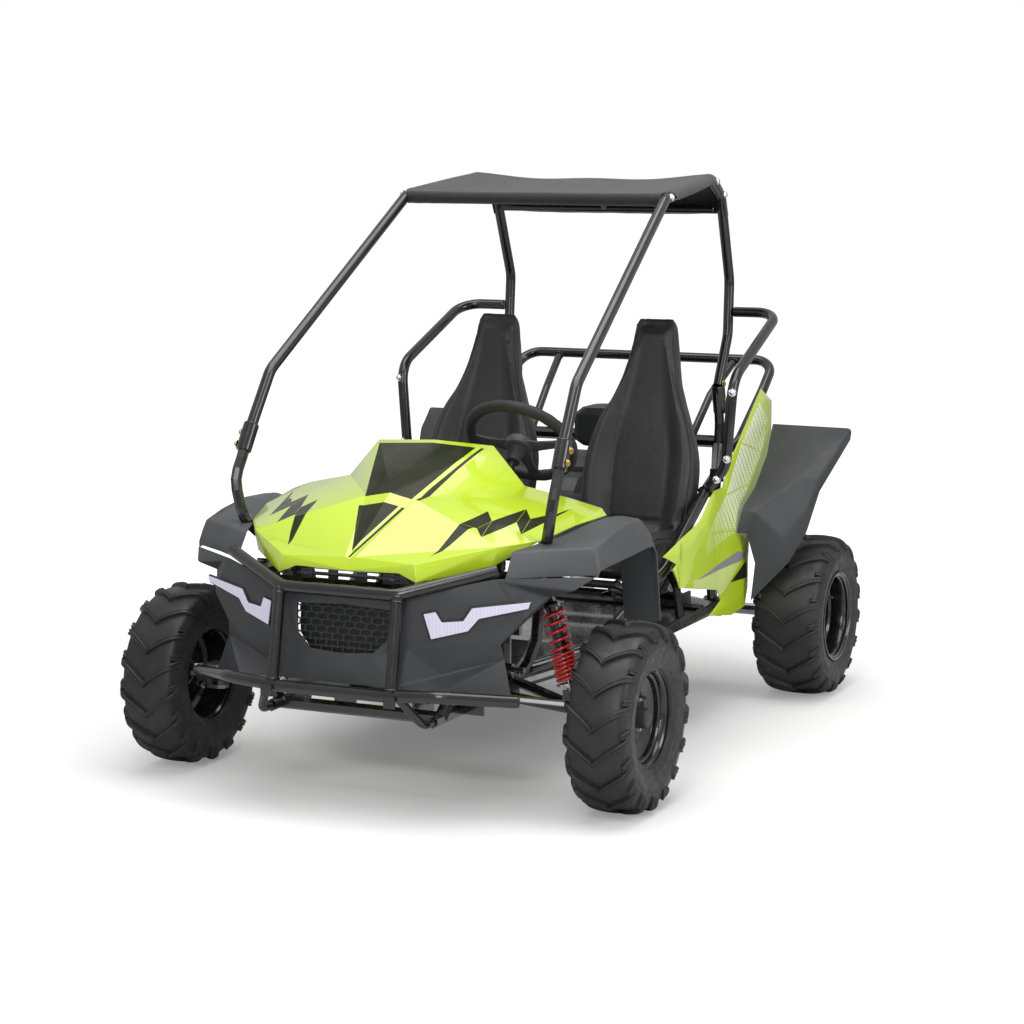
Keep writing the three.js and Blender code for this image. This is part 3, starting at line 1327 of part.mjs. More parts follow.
// Seats: a bucket shell lofted through rings along the sitting line.
// Each station: along the kart, height, then shares of the seat's half width, of the
// bolster's height and of the cushion's depth.
const seatWidthShares = { x: 0.35245, halfWidth: 0.24938 }; // of half the width
const seat = {
  x: (seatWidthShares.x * overallWidth) / 2,
  halfWidth: (seatWidthShares.halfWidth * overallWidth) / 2,
  bolster: 52,
  depth: 58,
};
const seatShares = [
  [[0, 0.3882, 0.3133], 0.86, 0.1, 0.35],
  [[0, 0.3959, 0.3346], 0.92, 0.25, 0.7],
  [[0, 0.4248, 0.3437], 0.95, 0.5, 1.02],
  [[0, 0.4988, 0.3361], 0.95, 0.9, 0.9],
  [[0, 0.5768, 0.3255], 0.95, 1, 0.7],
  [[0, 0.6235, 0.324], 0.95, 1.05, 0.75],
  [[0, 0.6547, 0.3513], 0.95, 1.1, 0.85],
  [[0, 0.6719, 0.4106], 0.96, 1.15, 0.9],
  [[0, 0.689, 0.4791], 1.06, 1.1, 0.9],
  [[0, 0.7046, 0.5437], 0.9, 0.95, 0.85],
  [[0, 0.7155, 0.5894], 0.6, 0.5, 0.8],
  [[0, 0.7249, 0.6312], 0.46, 0.32, 0.8],
  [[0, 0.7358, 0.6882], 0.44, 0.3, 0.75],
  [[0, 0.7443, 0.7285], 0.38, 0.2, 0.6],
  [[0, 0.7498, 0.7392], 0.3, 0.1, 0.35],
];
// The ring: across, and up in shares of the bolster (above the cushion) or depth (below).
const seatRingShares = [
  [0.97, 0.55],
  [0.9, 1],
  [0.76, 0.9],
  [0.62, 0.3],
  [0.5, 0.02],
  [0.43, 0.16],
  [0, 0.26],
];

const seatUnderShares = [
  [-0.94, -0.35],
  [-0.78, -1],
  [0.78, -1],
  [0.94, -0.35],
];

function seatGeometry() {
  const stations = seatShares.map(([centreShare, width, bolster, depth]) => {
    return { centre: place(centreShare), width, bolster, depth };
  });
  const rings = stations.map(({ centre, width, bolster, depth }, k) => {
    const before = stations[Math.max(k - 1, 0)].centre;
    const after = stations[Math.min(k + 1, stations.length - 1)].centre;
    const along = new THREE.Vector3().subVectors(after, before).normalize();
    const up = new THREE.Vector3().crossVectors(unitX, along);
    const at = (across, height) => {
      const middle = new THREE.Vector3(seat.x + across * width * seat.halfWidth, centre.y, centre.z);
      return middle.addScaledVector(up, height);
    };
    const upper = seatRingShares.map(([across, height]) => [across, height * bolster * seat.bolster]);
    const right = [...upper].reverse().slice(1).map(([across, height]) => [-across, height]);
    const under = seatUnderShares.map(([across, height]) => [across, height * depth * seat.depth]);
    return [...upper, ...right, ...under].map(([across, height]) => at(across, height)).reverse();
  });
  return loft(rings);
}

addPair("seat", seatGeometry(), finishes.blackVinyl);

// Canopy: cloth stretched over the roof tubes, turned down round them on all sides.
// Each row: a place on the roof tube, then shares of the fold's depth at that row.
const canopy = { thick: 3, stand: 13.8, sag: 14 };
const canopyShares = [
  [[0.5553, 0.5549, 0.9583], 0.2],
  [[0.547, 0.6041, 0.9635], 1],
  [[0.5387, 0.6703, 0.9703], 0.35],
  [[0.5303, 0.7327, 0.9769], 1],
  [[0.5187, 0.7872, 0.9825], 0.3],
  [[0.5104, 0.8231, 0.9863], 0.1],
  [[0.5087, 0.8457, 0.9802], 0.5],
  [[0.5079, 0.8667, 0.9688], 0.6],
  [[0.5071, 0.8901, 0.9551], 0.3],
  [[0.5037, 0.9088, 0.9171], 0],
];
// Across a row: sideways and up from the tube, in shares of the cloth's reach round it.
const hemShares = [
  [1.15, -0.85],
  [0.95, 0.8],
  [0, 1.05],
];
// Inside the tubes: shares of the tube's distance from the middle, and of the fold.
const spanShares = [
  [0.88, 0.5],
  [0.45, 1],
  [0, 0.8],
];
// The front edge, turned down inside the pillars: outermost, middle and centre.
const canopyFrontShares = [
  [
    [0.5254, 0.5284, 0.9452], [0.5237, 0.5284, 0.9452], [0.522, 0.5284, 0.9452],
    [0.4655, 0.5284, 0.9445], [0.2494, 0.5277, 0.943], [0, 0.5277, 0.9437],
  ],
  [
    [0.5254, 0.5284, 0.9665], [0.5237, 0.5284, 0.9673], [0.522, 0.5284, 0.9673],
    [0.4655, 0.5284, 0.9658], [0.2494, 0.5284, 0.9643], [0, 0.5284, 0.9643],
  ],
  [
    [0.5835, 0.5378, 0.9643], [0.5786, 0.5378, 0.9673], [0.5553, 0.5378, 0.9696],
    [0.4821, 0.5378, 0.9688], [0.2494, 0.5378, 0.9665], [0, 0.5378, 0.9665],
  ],
];

function canopyGeometry() {
  const reach = canopy.stand + canopy.thick;
  const back = canopyShares.map(([share, fold], k) => {
    const tube = place(share);
    const next = place(canopyShares[Math.min(k + 1, canopyShares.length - 1)][0]);
    const before = place(canopyShares[Math.max(k - 1, 0)][0]);
    const up = new THREE.Vector3(0, before.z - next.z, next.y - before.y).normalize();
    const at = (across, rise) => new THREE.Vector3(across, tube.y, tube.z).addScaledVector(up, rise);
    return [
      ...hemShares.map(([across, rise]) => at(tube.x + across * reach, rise * reach)),
      ...spanShares.map(([across, depth]) => at(across * tube.x, reach - depth * fold * canopy.sag)),
    ];
  });
  const halves = [...canopyFrontShares.map(places), ...back];
  const rows = halves.map((half) => [...half.slice(0, -1).map(mirrorPoint), ...[...half].reverse()]);
  return gridSheet(rows, canopy.thick);
}

addPiece("canopy", carve(canopyGeometry(), ...onBothSides(cageRoom)), finishes.roofCloth);

// Swing arm, rear axle and drive

const carrier = { radius: 26, half: 22 };
const sprocket = { radius: 105, thick: 6, teeth: 18, toothDepth: 5, x: place([0.1496, 0, 0]).x };
const chainRatio = 3.5;
const driveSprocketRadius = sprocket.radius / chainRatio;
const disc = { radius: 90, thick: 4, x: place([-0.1995, 0, 0]).x, sides: 16 };
const chain = { width: 10, thick: 8, arcSteps: 7 };
const caliper = { half: 16, length: 20, drop: 58, gap: 1 };
const axleCentre = new THREE.Vector3(0, rearAxleY, tyreRadius);
const carrierCentre = new THREE.Vector3(pivot.x, rearAxleY, tyreRadius);
const archShares = [[0.4156, 1, 0.1544],[0.399, 1, 0.2548]];
const archHalf = places(archShares);
archHalf[0].setZ(tyreRadius);
const swingCross = place([0, 0.8963, 0.1787]);

function swingArmGeometry() {
  const leg = bar(pivotCentre, carrierCentre, railTube.radius, roundSides);
  const bushShell = barAlongX(pivotCentre, pivot.bushHalf, pivot.bushRadius);
  const bearing = barAlongX(carrierCentre, carrier.half, carrier.radius);
  const halves = [leg, bushShell, bearing].flatMap(onBothSides);
  const arch = bentTube(acrossKart(archHalf), { ...legTube, bend: braceTube.bend });
  const cross = crossTube(swingCross, pivot.x, railTube.radius);
  const archTop = new THREE.Vector3(0, rearAxleY, archHalf[1].z);
  const damperMount = clevisAcrossX(rearDamperFoot, eyeSide, damper.pinRadius, archTop, steelPlate);
  const caliperBody = block(
    moved(archTop, disc.x - caliper.half, -caliper.length, -caliper.drop),
    moved(archTop, disc.x + caliper.half, caliper.length, 0),
  );
  const discRoom = bar(
    moved(axleCentre, disc.x - disc.thick / 2 - caliper.gap, 0, 0),
    moved(axleCentre, disc.x + disc.thick / 2 + caliper.gap, 0, 0),
    disc.radius + overrun,
    disc.sides,
  );
  const axleRoom = barAlongX(axleCentre, pivot.x + carrier.half + overrun, boreRadius(axleRadius));
  const pivotRooms = onBothSides(barAlongX(pivotCentre, pivot.bushHalf + overrun, boreRadius(pivot.radius)));
  const body = weld(...halves, arch, cross, carve(caliperBody, discRoom), ...damperMount);
  return carve(body, axleRoom, ...pivotRooms);
}

// A toothed disc in the YZ plane around a point.
function toothedDisc(centre, { radius, thick, teeth, toothDepth }) {
  const outline = Array.from({ length: teeth * 2 }, (_, k) => {
    const angle = (Math.PI * k) / teeth;
    const reach = k % 2 ? radius : radius - toothDepth;
    return new THREE.Vector2(reach * Math.cos(angle), reach * Math.sin(angle));
  });
  return plate(new THREE.Shape(outline), thick, standing(unitY, unitZ, moved(centre, -thick / 2, 0, 0)));
}

function rearAxleGeometry() {
  const end = rearWheelX + rearRim.hubHigh - steelPlate;
  const shaft = barAlongX(axleCentre, end, axleRadius);
  const wheel = toothedDisc(moved(axleCentre, sprocket.x, 0, 0), sprocket);
  const discPlate = bar(
    moved(axleCentre, disc.x - disc.thick / 2, 0, 0),
    moved(axleCentre, disc.x + disc.thick / 2, 0, 0),
    disc.radius,
    disc.sides,
  );
  return weld(shaft, wheel, discPlate);
}

// The loop that a chain makes round two sprockets, at a distance outside both.
function chainOutline(small, large, outside, steps) {
  const between = new THREE.Vector2().subVectors(large.centre, small.centre);
  const heading = between.angle();
  const spread = Math.acos((small.radius - large.radius) / between.length());
  const arc = ({ centre, radius }, from, to) =>
    Array.from({ length: steps + 1 }, (_, k) => {
      const angle = from + ((to - from) * k) / steps;
      const reach = (radius + outside) / Math.cos((to - from) / steps / 2);
      return new THREE.Vector2(centre.x + reach * Math.cos(angle), centre.y + reach * Math.sin(angle));
    });
  return [
    ...arc(large, heading - spread, heading + spread),
    ...arc(small, heading + spread, heading + 2 * Math.PI - spread),
  ];
}

function chainGeometry() {
  const small = { centre: new THREE.Vector2(pivotCentre.y, pivotCentre.z), radius: driveSprocketRadius };
  const large = { centre: new THREE.Vector2(rearAxleY, tyreRadius), radius: sprocket.radius };
  const loop = new THREE.Shape(chainOutline(small, large, clearance + chain.thick, chain.arcSteps));
  loop.holes.push(new THREE.Path(chainOutline(small, large, clearance, chain.arcSteps).reverse()));
  const origin = new THREE.Vector3(sprocket.x - chain.width / 2, 0, 0);
  return plate(loop, chain.width, standing(unitY, unitZ, origin));
}

function jackshaftGeometry() {
  const at = (x) => new THREE.Vector3(x, pivotCentre.y, pivotCentre.z);
  const shaft = bar(at(jackshaft.low), at(jackshaft.high), jackshaft.radius);
  const wheel = toothedDisc(at(sprocket.x), {
    ...sprocket,
    radius: driveSprocketRadius,
    teeth: Math.round(sprocket.teeth / chainRatio),
  });
  return weld(shaft, wheel);
}

addPiece("swing_arm", swingArmGeometry(), finishes.glossBlack);
addPiece("rear_axle", rearAxleGeometry(), finishes.brightSteel);
addPiece("drive_chain", chainGeometry(), finishes.castGrey);
addPiece("jackshaft", jackshaftGeometry(), finishes.brightSteel);

// Engine, its exhaust and belt cover

const engine = {
  crankcase: [place([-0.1031, 0.8293, 0.2905]), place([0.1862, 0.9353, 0.3802])],
  barrel: place([0.0665, 0.8963, 0.3802]),
  barrelTop: place([0.0665, 0.8963, 0.4639]),
  finRadius: 62,
  finThick: 6,
  fins: 4,
  barrelRadius: 46,
  starter: place([-0.1031, 0.8948, 0.3574]),
  starterDepth: 40,
  starterRadius: 78,
  starterSides: 12,
  muffler: [place([-0.2228, 0.94, 0.4259]), place([-0.0831, 0.94, 0.4259])],
  mufflerRadius: 40,
  pipe: [place([-0.133, 0.94, 0.4259]), place([-0.0665, 0.9119, 0.3688])],
  pipeRadius: 14,
  tankPost: [place([0.0665, 0.8963, 0.4563]), place([0.0665, 0.8963, 0.4745])],
};
const beltCover = {
  low: place([0.2394, 0, 0]).x,
  high: place([0.3292, 0, 0]).x,
  crank: place([0, 0.8807, 0.3574]),
  crankRadius: 66,
  endRadius: 30,
  steps: 5,
};

function engineGeometry() {
  const fins = Array.from({ length: engine.fins }, (_, k) => {
    const level = engine.barrel.z + ((k + 0.5) * (engine.barrelTop.z - engine.barrel.z)) / engine.fins;
    const centre = new THREE.Vector3(engine.barrel.x, engine.barrel.y, level);
    return barAlongZ(centre, engine.finThick / 2, engine.finRadius);
  });
  const start = moved(engine.barrel, 0, 0, -steelPlate);
  const starterFace = moved(engine.starter, -engine.starterDepth, 0, 0);
  const starterRoot = moved(engine.starter, steelPlate, 0, 0);
  const pieces = [
    block(...engine.crankcase),
    bar(start, engine.barrelTop, engine.barrelRadius),
    bar(starterFace, starterRoot, engine.starterRadius, engine.starterSides),
    bar(...engine.muffler, engine.mufflerRadius, roundSides),
    bar(...engine.pipe, engine.pipeRadius),
    bar(...engine.tankPost, engine.barrelRadius),
  ];
  const small = { centre: new THREE.Vector2(pivotCentre.y, pivotCentre.z), radius: beltCover.endRadius };
  const large = {
    centre: new THREE.Vector2(beltCover.crank.y, beltCover.crank.z),
    radius: beltCover.crankRadius,
  };
  const outline = new THREE.Shape(chainOutline(small, large, 0, beltCover.steps));
  const coverPlace = standing(unitY, unitZ, new THREE.Vector3(beltCover.low, 0, 0));
  const cover = plate(outline, beltCover.high - beltCover.low, coverPlace);
  const boss = bar(
    new THREE.Vector3(engine.barrel.x, beltCover.crank.y, beltCover.crank.z),
    new THREE.Vector3(beltCover.low + steelPlate, beltCover.crank.y, beltCover.crank.z),
    beltCover.endRadius,
  );
  const shaftRoom = bar(
    new THREE.Vector3(jackshaft.low, pivotCentre.y, pivotCentre.z),
    new THREE.Vector3(jackshaft.high + clearance, pivotCentre.y, pivotCentre.z),
    boreRadius(jackshaft.radius, hiddenSides),
  );
  const bedRoom = block(
    new THREE.Vector3(bed.right - overrun, bed.front.y - overrun, bed.front.z - clearance),
    new THREE.Vector3(bed.left + overrun, bed.back.y + overrun, bed.back.z + bed.thick + clearance),
  );
  return carve(weld(...pieces, ...fins, cover, boss), shaftRoom, bedRoom);
}

addPiece("engine", engineGeometry(), finishes.castGrey);

const tank = {
  low: place([-0.0998, 0.8402, 0.4748]),
  high: place([0.2328, 0.9556, 0.549]),
  edge: 16,
  cap: 24,
  capRise: 14,
};

function tankGeometry() {
  const ring = (inset, z) => {
    const [x0, y0] = [tank.low.x + inset, tank.low.y + inset];
    const [x1, y1] = [tank.high.x - inset, tank.high.y - inset];
    const cut = tank.edge;
    const corners = [
      [x0 + cut, y0],
      [x1 - cut, y0],
      [x1, y0 + cut],
      [x1, y1 - cut],
      [x1 - cut, y1],
      [x0 + cut, y1],
      [x0, y1 - cut],
      [x0, y0 + cut],
    ];
    return corners.map(([x, y]) => new THREE.Vector3(x, y, z));
  };
  const body = loft([
    ring(tank.edge, tank.low.z),
    ring(0, tank.low.z + tank.edge),
    ring(0, tank.high.z - tank.edge),
    ring(tank.edge, tank.high.z),
  ]);
  const middle = new THREE.Vector3().addVectors(tank.low, tank.high).multiplyScalar(0.5);
  const capFoot = middle.setZ(tank.high.z - tank.edge);
  return weld(body, bar(capFoot, moved(capFoot, 0, 0, tank.edge + tank.capRise), tank.cap));
}

addPiece("fuel_tank", carve(tankGeometry(), deckRoom), finishes.greyPlastic);

// Pedals

const pedalPlacesX = { throttle: place([0.2959, 0, 0]).x, brake: place([0.4057, 0, 0]).x };
const padGap = 8;
const pedal = {
  hubRadius: 12,
  hubHalf: 14,
  armHalf: 7,
  armThick: 8,
  padWidth: pedalPlacesX.brake - pedalPlacesX.throttle - padGap,
  padHeight: 66,
  padThick: 7,
  rise: 140,
};

function pedalGeometry(x) {
  const hub = moved(pedalAxis, x, 0, 0);
  const arm = block(moved(hub, -pedal.armHalf, 0, 0), moved(hub, pedal.armHalf, pedal.armThick, pedal.rise));
  const pad = block(
    moved(hub, -pedal.padWidth / 2, 0, pedal.rise - pedal.padHeight),
    moved(hub, pedal.padWidth / 2, pedal.padThick + pedal.armThick, pedal.rise),
  );
  const room = barAlongX(hub, pedal.hubHalf + overrun, boreRadius(pedalShaft.radius));
  return carve(weld(barAlongX(hub, pedal.hubHalf, pedal.hubRadius), arm, pad), room);
}

for (const [name, x] of Object.entries(pedalPlacesX)) {
  addPiece(name + "_pedal", pedalGeometry(x), finishes.greyPlastic);
}

// The frames come last, because they are cut to clear what they carry.
addPiece("front_frame", frontFrameGeometry(), finishes.glossBlack);
addPiece("rear_frame", rearFrameGeometry(), finishes.glossBlack);
addPiece("floor_frame", floorGeometry(), finishes.glossBlack);

export default kart;
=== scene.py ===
import math

import bmesh
import bpy
from mathutils import Matrix, Vector
from mathutils.bvhtree import BVHTree
from mathutils.geometry import tessellate_polygon
from mathutils.kdtree import KDTree


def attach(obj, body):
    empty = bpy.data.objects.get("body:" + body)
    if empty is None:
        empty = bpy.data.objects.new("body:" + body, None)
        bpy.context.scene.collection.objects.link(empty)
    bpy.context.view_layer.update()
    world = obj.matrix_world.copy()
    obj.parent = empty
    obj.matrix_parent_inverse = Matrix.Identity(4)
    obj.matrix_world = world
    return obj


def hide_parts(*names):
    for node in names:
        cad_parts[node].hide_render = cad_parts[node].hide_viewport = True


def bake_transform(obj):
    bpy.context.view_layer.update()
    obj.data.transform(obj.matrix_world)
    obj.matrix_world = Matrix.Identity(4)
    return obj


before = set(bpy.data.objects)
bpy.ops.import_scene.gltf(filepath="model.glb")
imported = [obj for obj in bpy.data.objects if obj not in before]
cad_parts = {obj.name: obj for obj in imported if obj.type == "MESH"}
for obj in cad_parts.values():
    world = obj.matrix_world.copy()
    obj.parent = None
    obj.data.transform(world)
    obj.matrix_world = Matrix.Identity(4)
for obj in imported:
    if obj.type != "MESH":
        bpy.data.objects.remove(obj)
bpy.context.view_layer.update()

# Lengths are in millimetres unless said otherwise.
# A place is how far left of the kart's middle, behind its front axle and above the ground it lies.
AXLE_TO_MIDDLE = 578.5
MM = 1000  # to the metre
SIDES = {"left": 1, "right": -1}
MERGE = 2e-5  # metres: points closer than this are one


def spot(x, y, z):
    """A place in metres."""
    return Vector((x, y - AXLE_TO_MIDDLE, z)) / MM


def on_side(marks, sign):
    """Marks made on the left, or their mirror images for sign -1."""
    return [(Vector((sign * p.x, p.y, p.z)), Vector((sign * w.x, w.y, w.z))) for p, w in marks]


def in_mm(place):
    """The way back from spot()."""
    return place * MM + Vector((0, AXLE_TO_MIDDLE, 0))


class Shape:
    """Points and faces gathered for one piece, each face with the number of its finish."""

    def __init__(self):
        self.points, self.faces, self.kinds = [], [], []

    def add(self, points, faces, kind=0):
        first = len(self.points)
        self.points += [Vector(p) for p in points]
        self.faces += [[first + i for i in face] for face in faces]
        self.kinds += [kind] * len(faces)
        return self

    def other_side(self):
        made = Shape()
        made.points = [Vector((-p.x, p.y, p.z)) for p in self.points]
        made.faces = [face[::-1] for face in self.faces]
        made.kinds = list(self.kinds)
        return made

    def on(self, side):
        return self if side > 0 else self.other_side()

    def join(self, other):
        for kind in set(other.kinds):
            faces = [f for f, k in zip(other.faces, other.kinds) if k == kind]
            self.add(other.points, faces, kind)
        return self

    def mesh(self, name, outward=True):
        mesh = bpy.data.meshes.new(name)
        mesh.from_pydata([spot(*p) for p in self.points], [], self.faces)
        mesh.polygons.foreach_set("material_index", self.kinds)
        bm = bmesh.new()
        bm.from_mesh(mesh)
        bmesh.ops.remove_doubles(bm, verts=bm.verts, dist=MERGE)
        loose = [v for v in bm.verts if not v.link_faces]
        bmesh.ops.delete(bm, geom=loose, context="VERTS")
        if outward:
            bmesh.ops.recalc_face_normals(bm, faces=bm.faces)
        bm.to_mesh(mesh)
        bm.free()
        return mesh


def grid(shape, rows, kind=0, closed=False):
    """Adds a surface through rows of points; closed joins each row's end to its start."""
    width = len(rows[0])
    faces = []
    for r in range(len(rows) - 1):
        for c in range(width if closed else width - 1):
            d = (c + 1) % width
            faces.append([r * width + c, r * width + d, (r + 1) * width + d, (r + 1) * width + c])
    return shape.add([p for row in rows for p in row], faces, kind)


def circle(radius, count, squeeze=1.0):
    turns = [2 * math.pi * k / count for k in range(count)]
    return [(radius * math.cos(t), squeeze * radius * math.sin(t)) for t in turns]


def rounded(corners, radius, step=0.12, closed=False):
    """A line whose corners are rounded to the bend radius."""
    corners = [Vector(c) for c in corners]
    count = len(corners)
    line = [] if closed else [corners[0]]
    for k in range(count) if closed else range(1, count - 1):
        before, corner, after = corners[k - 1], corners[k], corners[(k + 1) % count]
        back, ahead = before - corner, after - corner
        turn = math.pi - back.angle(ahead)
        if turn < 0.01:
            line.append(corner)
            continue
        reach = min(radius * math.tan(turn / 2), 0.48 * back.length, 0.48 * ahead.length)
        centre = corner + (back.normalized() + ahead.normalized()).normalized() * (
            reach / math.sin(turn / 2)
        )
        start, end = corner + back.normalized() * reach, corner + ahead.normalized() * reach
        steps = max(2, math.ceil(turn / step))
        arm, far = start - centre, end - centre
        for i in range(steps + 1):
            share = i / steps
            part = arm.normalized().slerp(far.normalized(), share)
            line.append(centre + part * arm.length)
    return line + ([] if closed else [corners[-1]])


def curved(points, steps=6, closed=False):
    """A smooth line through points."""
    points = [Vector(p) for p in points]
    count = len(points)
    last = count if closed else count - 1
    line = []
    for k in range(last):
        if closed:
            a, b, c, d = (points[(k + i) % count] for i in (-1, 0, 1, 2))
        else:
            b, c = points[k], points[k + 1]
            a = points[k - 1] if k else 2 * b - c
            d = points[k + 2] if k + 2 < count else 2 * c - b
        for i in range(steps):
            t = i / steps
            bend, twist = 2 * a - 5 * b + 4 * c - d, 3 * b - a - 3 * c + d
            line.append(0.5 * ((2 * b) + (c - a) * t + bend * t**2 + twist * t**3))
    return line if closed else line + [points[-1]]


def swept(shape, line, ring, kind=0, closed=False, up=None, sizes=None):
    """Adds a bar: a ring of (across, up) points carried along a line without twist, and capped."""
    line = [Vector(p) for p in line]
    count = len(line)
    rows, side = [], None
    for k, point in enumerate(line):
        before = line[k - 1] if k or closed else point
        after = line[(k + 1) % count] if k < count - 1 or closed else point
        ahead = (after - before).normalized()
        if side is None:
            guide = Vector(up) if up else (Vector((0, 0, 1)) if abs(ahead.z) < 0.9 else Vector((0, 1, 0)))
            side = ahead.cross(guide).normalized()
        side = (side - ahead * side.dot(ahead)).normalized()
        top = side.cross(ahead)
        size = sizes[k] if sizes else 1
        rows.append([point + side * a * size + top * b * size for a, b in ring])
    if closed:
        rows.append(rows[0])
    start = len(shape.points)
    grid(shape, rows, kind, closed=True)
    if not closed:
        width = len(ring)
        end = start + (count - 1) * width
        shape.faces += [list(range(start, start + width))[::-1], list(range(end, end + width))]
        shape.kinds += [kind, kind]
    return shape


def bar(shape, line, radius, kind=0, sides=20, soft=1.2):
    """Adds a round bar whose ends have a small chamfer."""
    line = [Vector(p) for p in line]
    inward = [(line[1] - line[0]).normalized() * soft, (line[-2] - line[-1]).normalized() * soft]
    full = [line[0], line[0] + inward[0], *line[1:-1], line[-1] + inward[1], line[-1]]
    small = 1 - soft / radius
    sizes = [small, *[1] * (len(full) - 2), small]
    return swept(shape, full, circle(radius, sides), kind, sizes=sizes)


def turned(shape, profile, origin, axis=(1, 0, 0), kind=0, steps=72):
    """Adds a turned form from (along, radius) pairs; radii of 0 close its ends."""
    origin, axis = Vector(origin), Vector(axis).normalized()
    guide = Vector((0, 0, 1)) if abs(axis.z) < 0.9 else Vector((0, 1, 0))
    side = axis.cross(guide).normalized()
    top = side.cross(axis)
    turns = [2 * math.pi * k / steps for k in range(steps)]
    rows = []
    for along, radius in profile:
        base = origin + axis * along
        rows.append([base + (side * math.cos(t) + top * math.sin(t)) * radius for t in turns])
    return grid(shape, rows, kind, closed=True)


def box(shape, centre, size, kind=0, soft_share=0.12):
    """Adds a block whose edges are softened by a share of its least half size."""
    half = Vector(size) / 2
    soft = soft_share * min(half)
    outline = []
    for sx, sy in ((-1, -1), (1, -1), (1, 1), (-1, 1)):
        inner = Vector((sx * (half.x - soft), sy * (half.y - soft)))
        ends = [Vector((inner.x, sy * half.y)), Vector((sx * half.x, inner.y))]
        outline += ends if sx * sy > 0 else ends[::-1]
    narrow = 1 - soft / half.x
    levels = [(-half.z, narrow), (soft - half.z, 1), (half.z - soft, 1), (half.z, narrow)]
    rows = [[Vector(centre) + Vector((p.x * w, p.y * w, z)) for p in outline] for z, w in levels]
    start = len(shape.points)
    grid(shape, rows, kind, closed=True)
    width = len(outline)
    end = start + 3 * width
    shape.faces += [list(range(start, start + width))[::-1], list(range(end, end + width))]
    shape.kinds += [kind, kind]
    return shape


def with_modifiers(thing, *modifiers):
    """Adds modifiers, each a kind and its settings, and applies them."""
    for kind, settings in modifiers:
        made = thing.modifiers.new(kind.lower(), kind)
        for name, value in settings.items():
            setattr(made, name, value)
    return applied(thing)


def applied(thing):
    """Puts what the modifiers make into the mesh itself."""
    bpy.context.view_layer.update()
    seen = thing.evaluated_get(bpy.context.evaluated_depsgraph_get())
    mesh = bpy.data.meshes.new_from_object(seen)
    old = thing.data
    thing.modifiers.clear()
    thing.data = mesh
    bpy.data.meshes.remove(old)
    return thing


def thing_of(name, mesh, finishes):
    thing = bpy.data.objects.new(name, mesh)
    bpy.context.scene.collection.objects.link(thing)
    for finish in finishes:
        thing.data.materials.append(finish)
    return thing


def shaded(thing, crease=35):
    thing.data.polygons.foreach_set("use_smooth", [True] * len(thing.data.polygons))
    thing.data.set_sharp_from_angle(angle=math.radians(crease))
    return thing


def placed(thing, body, instead_of=None):
    """Hides the CAD part that the thing stands for and hangs the thing on the body it rides on."""
    if instead_of:
        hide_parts(instead_of)
    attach(thing, body)
    return thing


def piece(name, shape, body, *finishes, slot, instead_of=None, crease=35, modifiers=(), outward=True):
    """A finished piece of the kart, made from a shape or a mesh."""
    mesh = shape.mesh(name, outward) if isinstance(shape, Shape) else shape
    thing = thing_of(name, mesh, finishes)
    if modifiers:
        with_modifiers(thing, *modifiers)
    return placed(shaded(thing, crease), body, instead_of)


# Rules for what repeats, as Geometry Nodes trees


class Rule:
    """A Geometry Nodes tree: named inputs in, one geometry out."""

    def __init__(self, name, **inputs):
        self.tree = bpy.data.node_groups.new(name, "GeometryNodeTree")
        face = self.tree.interface
        face.new_socket(name="Geometry", in_out="INPUT", socket_type="NodeSocketGeometry")
        kinds = {
            "F": "NodeSocketFloat",
            "I": "NodeSocketInt",
            "O": "NodeSocketObject",
            "M": "NodeSocketMaterial",
        }
        self.names = {
            key: face.new_socket(name=key.replace("_", " "), in_out="INPUT", socket_type=kinds[kind]).identifier
            for key, kind in inputs.items()
        }
        face.new_socket(name="Geometry", in_out="OUTPUT", socket_type="NodeSocketGeometry")
        self.input = self.tree.nodes.new("NodeGroupInput")
        self.output = self.tree.nodes.new("NodeGroupOutput")

    def given(self, key):
        return self.input.outputs[key.replace("_", " ")]

    def step(self, kind, settings=None, **inputs):
        full_name = kind if kind.startswith(("Function", "Shader")) else "GeometryNode" + kind
        node = self.tree.nodes.new(full_name)
        for name, value in (settings or {}).items():
            setattr(node, name, value)
        for name, value in inputs.items():
            socket = node.inputs[name.replace("_", " ")]
            if isinstance(value, bpy.types.NodeSocket):
                self.tree.links.new(value, socket)
            else:
                socket.default_value = value
        return node

    def end(self, geometry, material):
        real = self.step("RealizeInstances", Geometry=geometry)
        dyed = self.step("SetMaterial", Geometry=real.outputs[0], Material=material)
        self.tree.links.new(dyed.outputs[0], self.output.inputs[0])
        return self

    def run(self, thing, **values):
        """Puts the rule's result, as a plain mesh, in place of what the thing holds."""
        made = thing.modifiers.new(self.tree.name, "NODES")
        made.node_group = self.tree
        for key, value in values.items():
            made[self.names[key]] = value
        return applied(thing)


def maths(rule, operation, a, b):
    node = rule.tree.nodes.new("ShaderNodeMath")
    node.operation = operation
    for socket, value in zip(node.inputs, (a, b)):
        if isinstance(value, bpy.types.NodeSocket):
            rule.tree.links.new(value, socket)
        else:
            socket.default_value = value
    return node.outputs[0]


def round_an_axle():
    """Copies of the given shape, which lies round the X axis, spaced evenly round it."""
    rule = Rule("round an axle", Count="I", Finish="M")
    spots = rule.step("Points", Count=rule.given("Count"))
    index = rule.step("InputIndex")
    step = maths(rule, "DIVIDE", 2 * math.pi, rule.given("Count"))
    turn = rule.step("ShaderNodeCombineXYZ", X=maths(rule, "MULTIPLY", index.outputs[0], step))
    copies = rule.step("InstanceOnPoints", Points=spots.outputs[0], Instance=rule.given("Geometry"))
    turned_copies = rule.step("RotateInstances", Instances=copies.outputs[0], Rotation=turn.outputs[0])
    return rule.end(turned_copies.outputs[0], rule.given("Finish"))


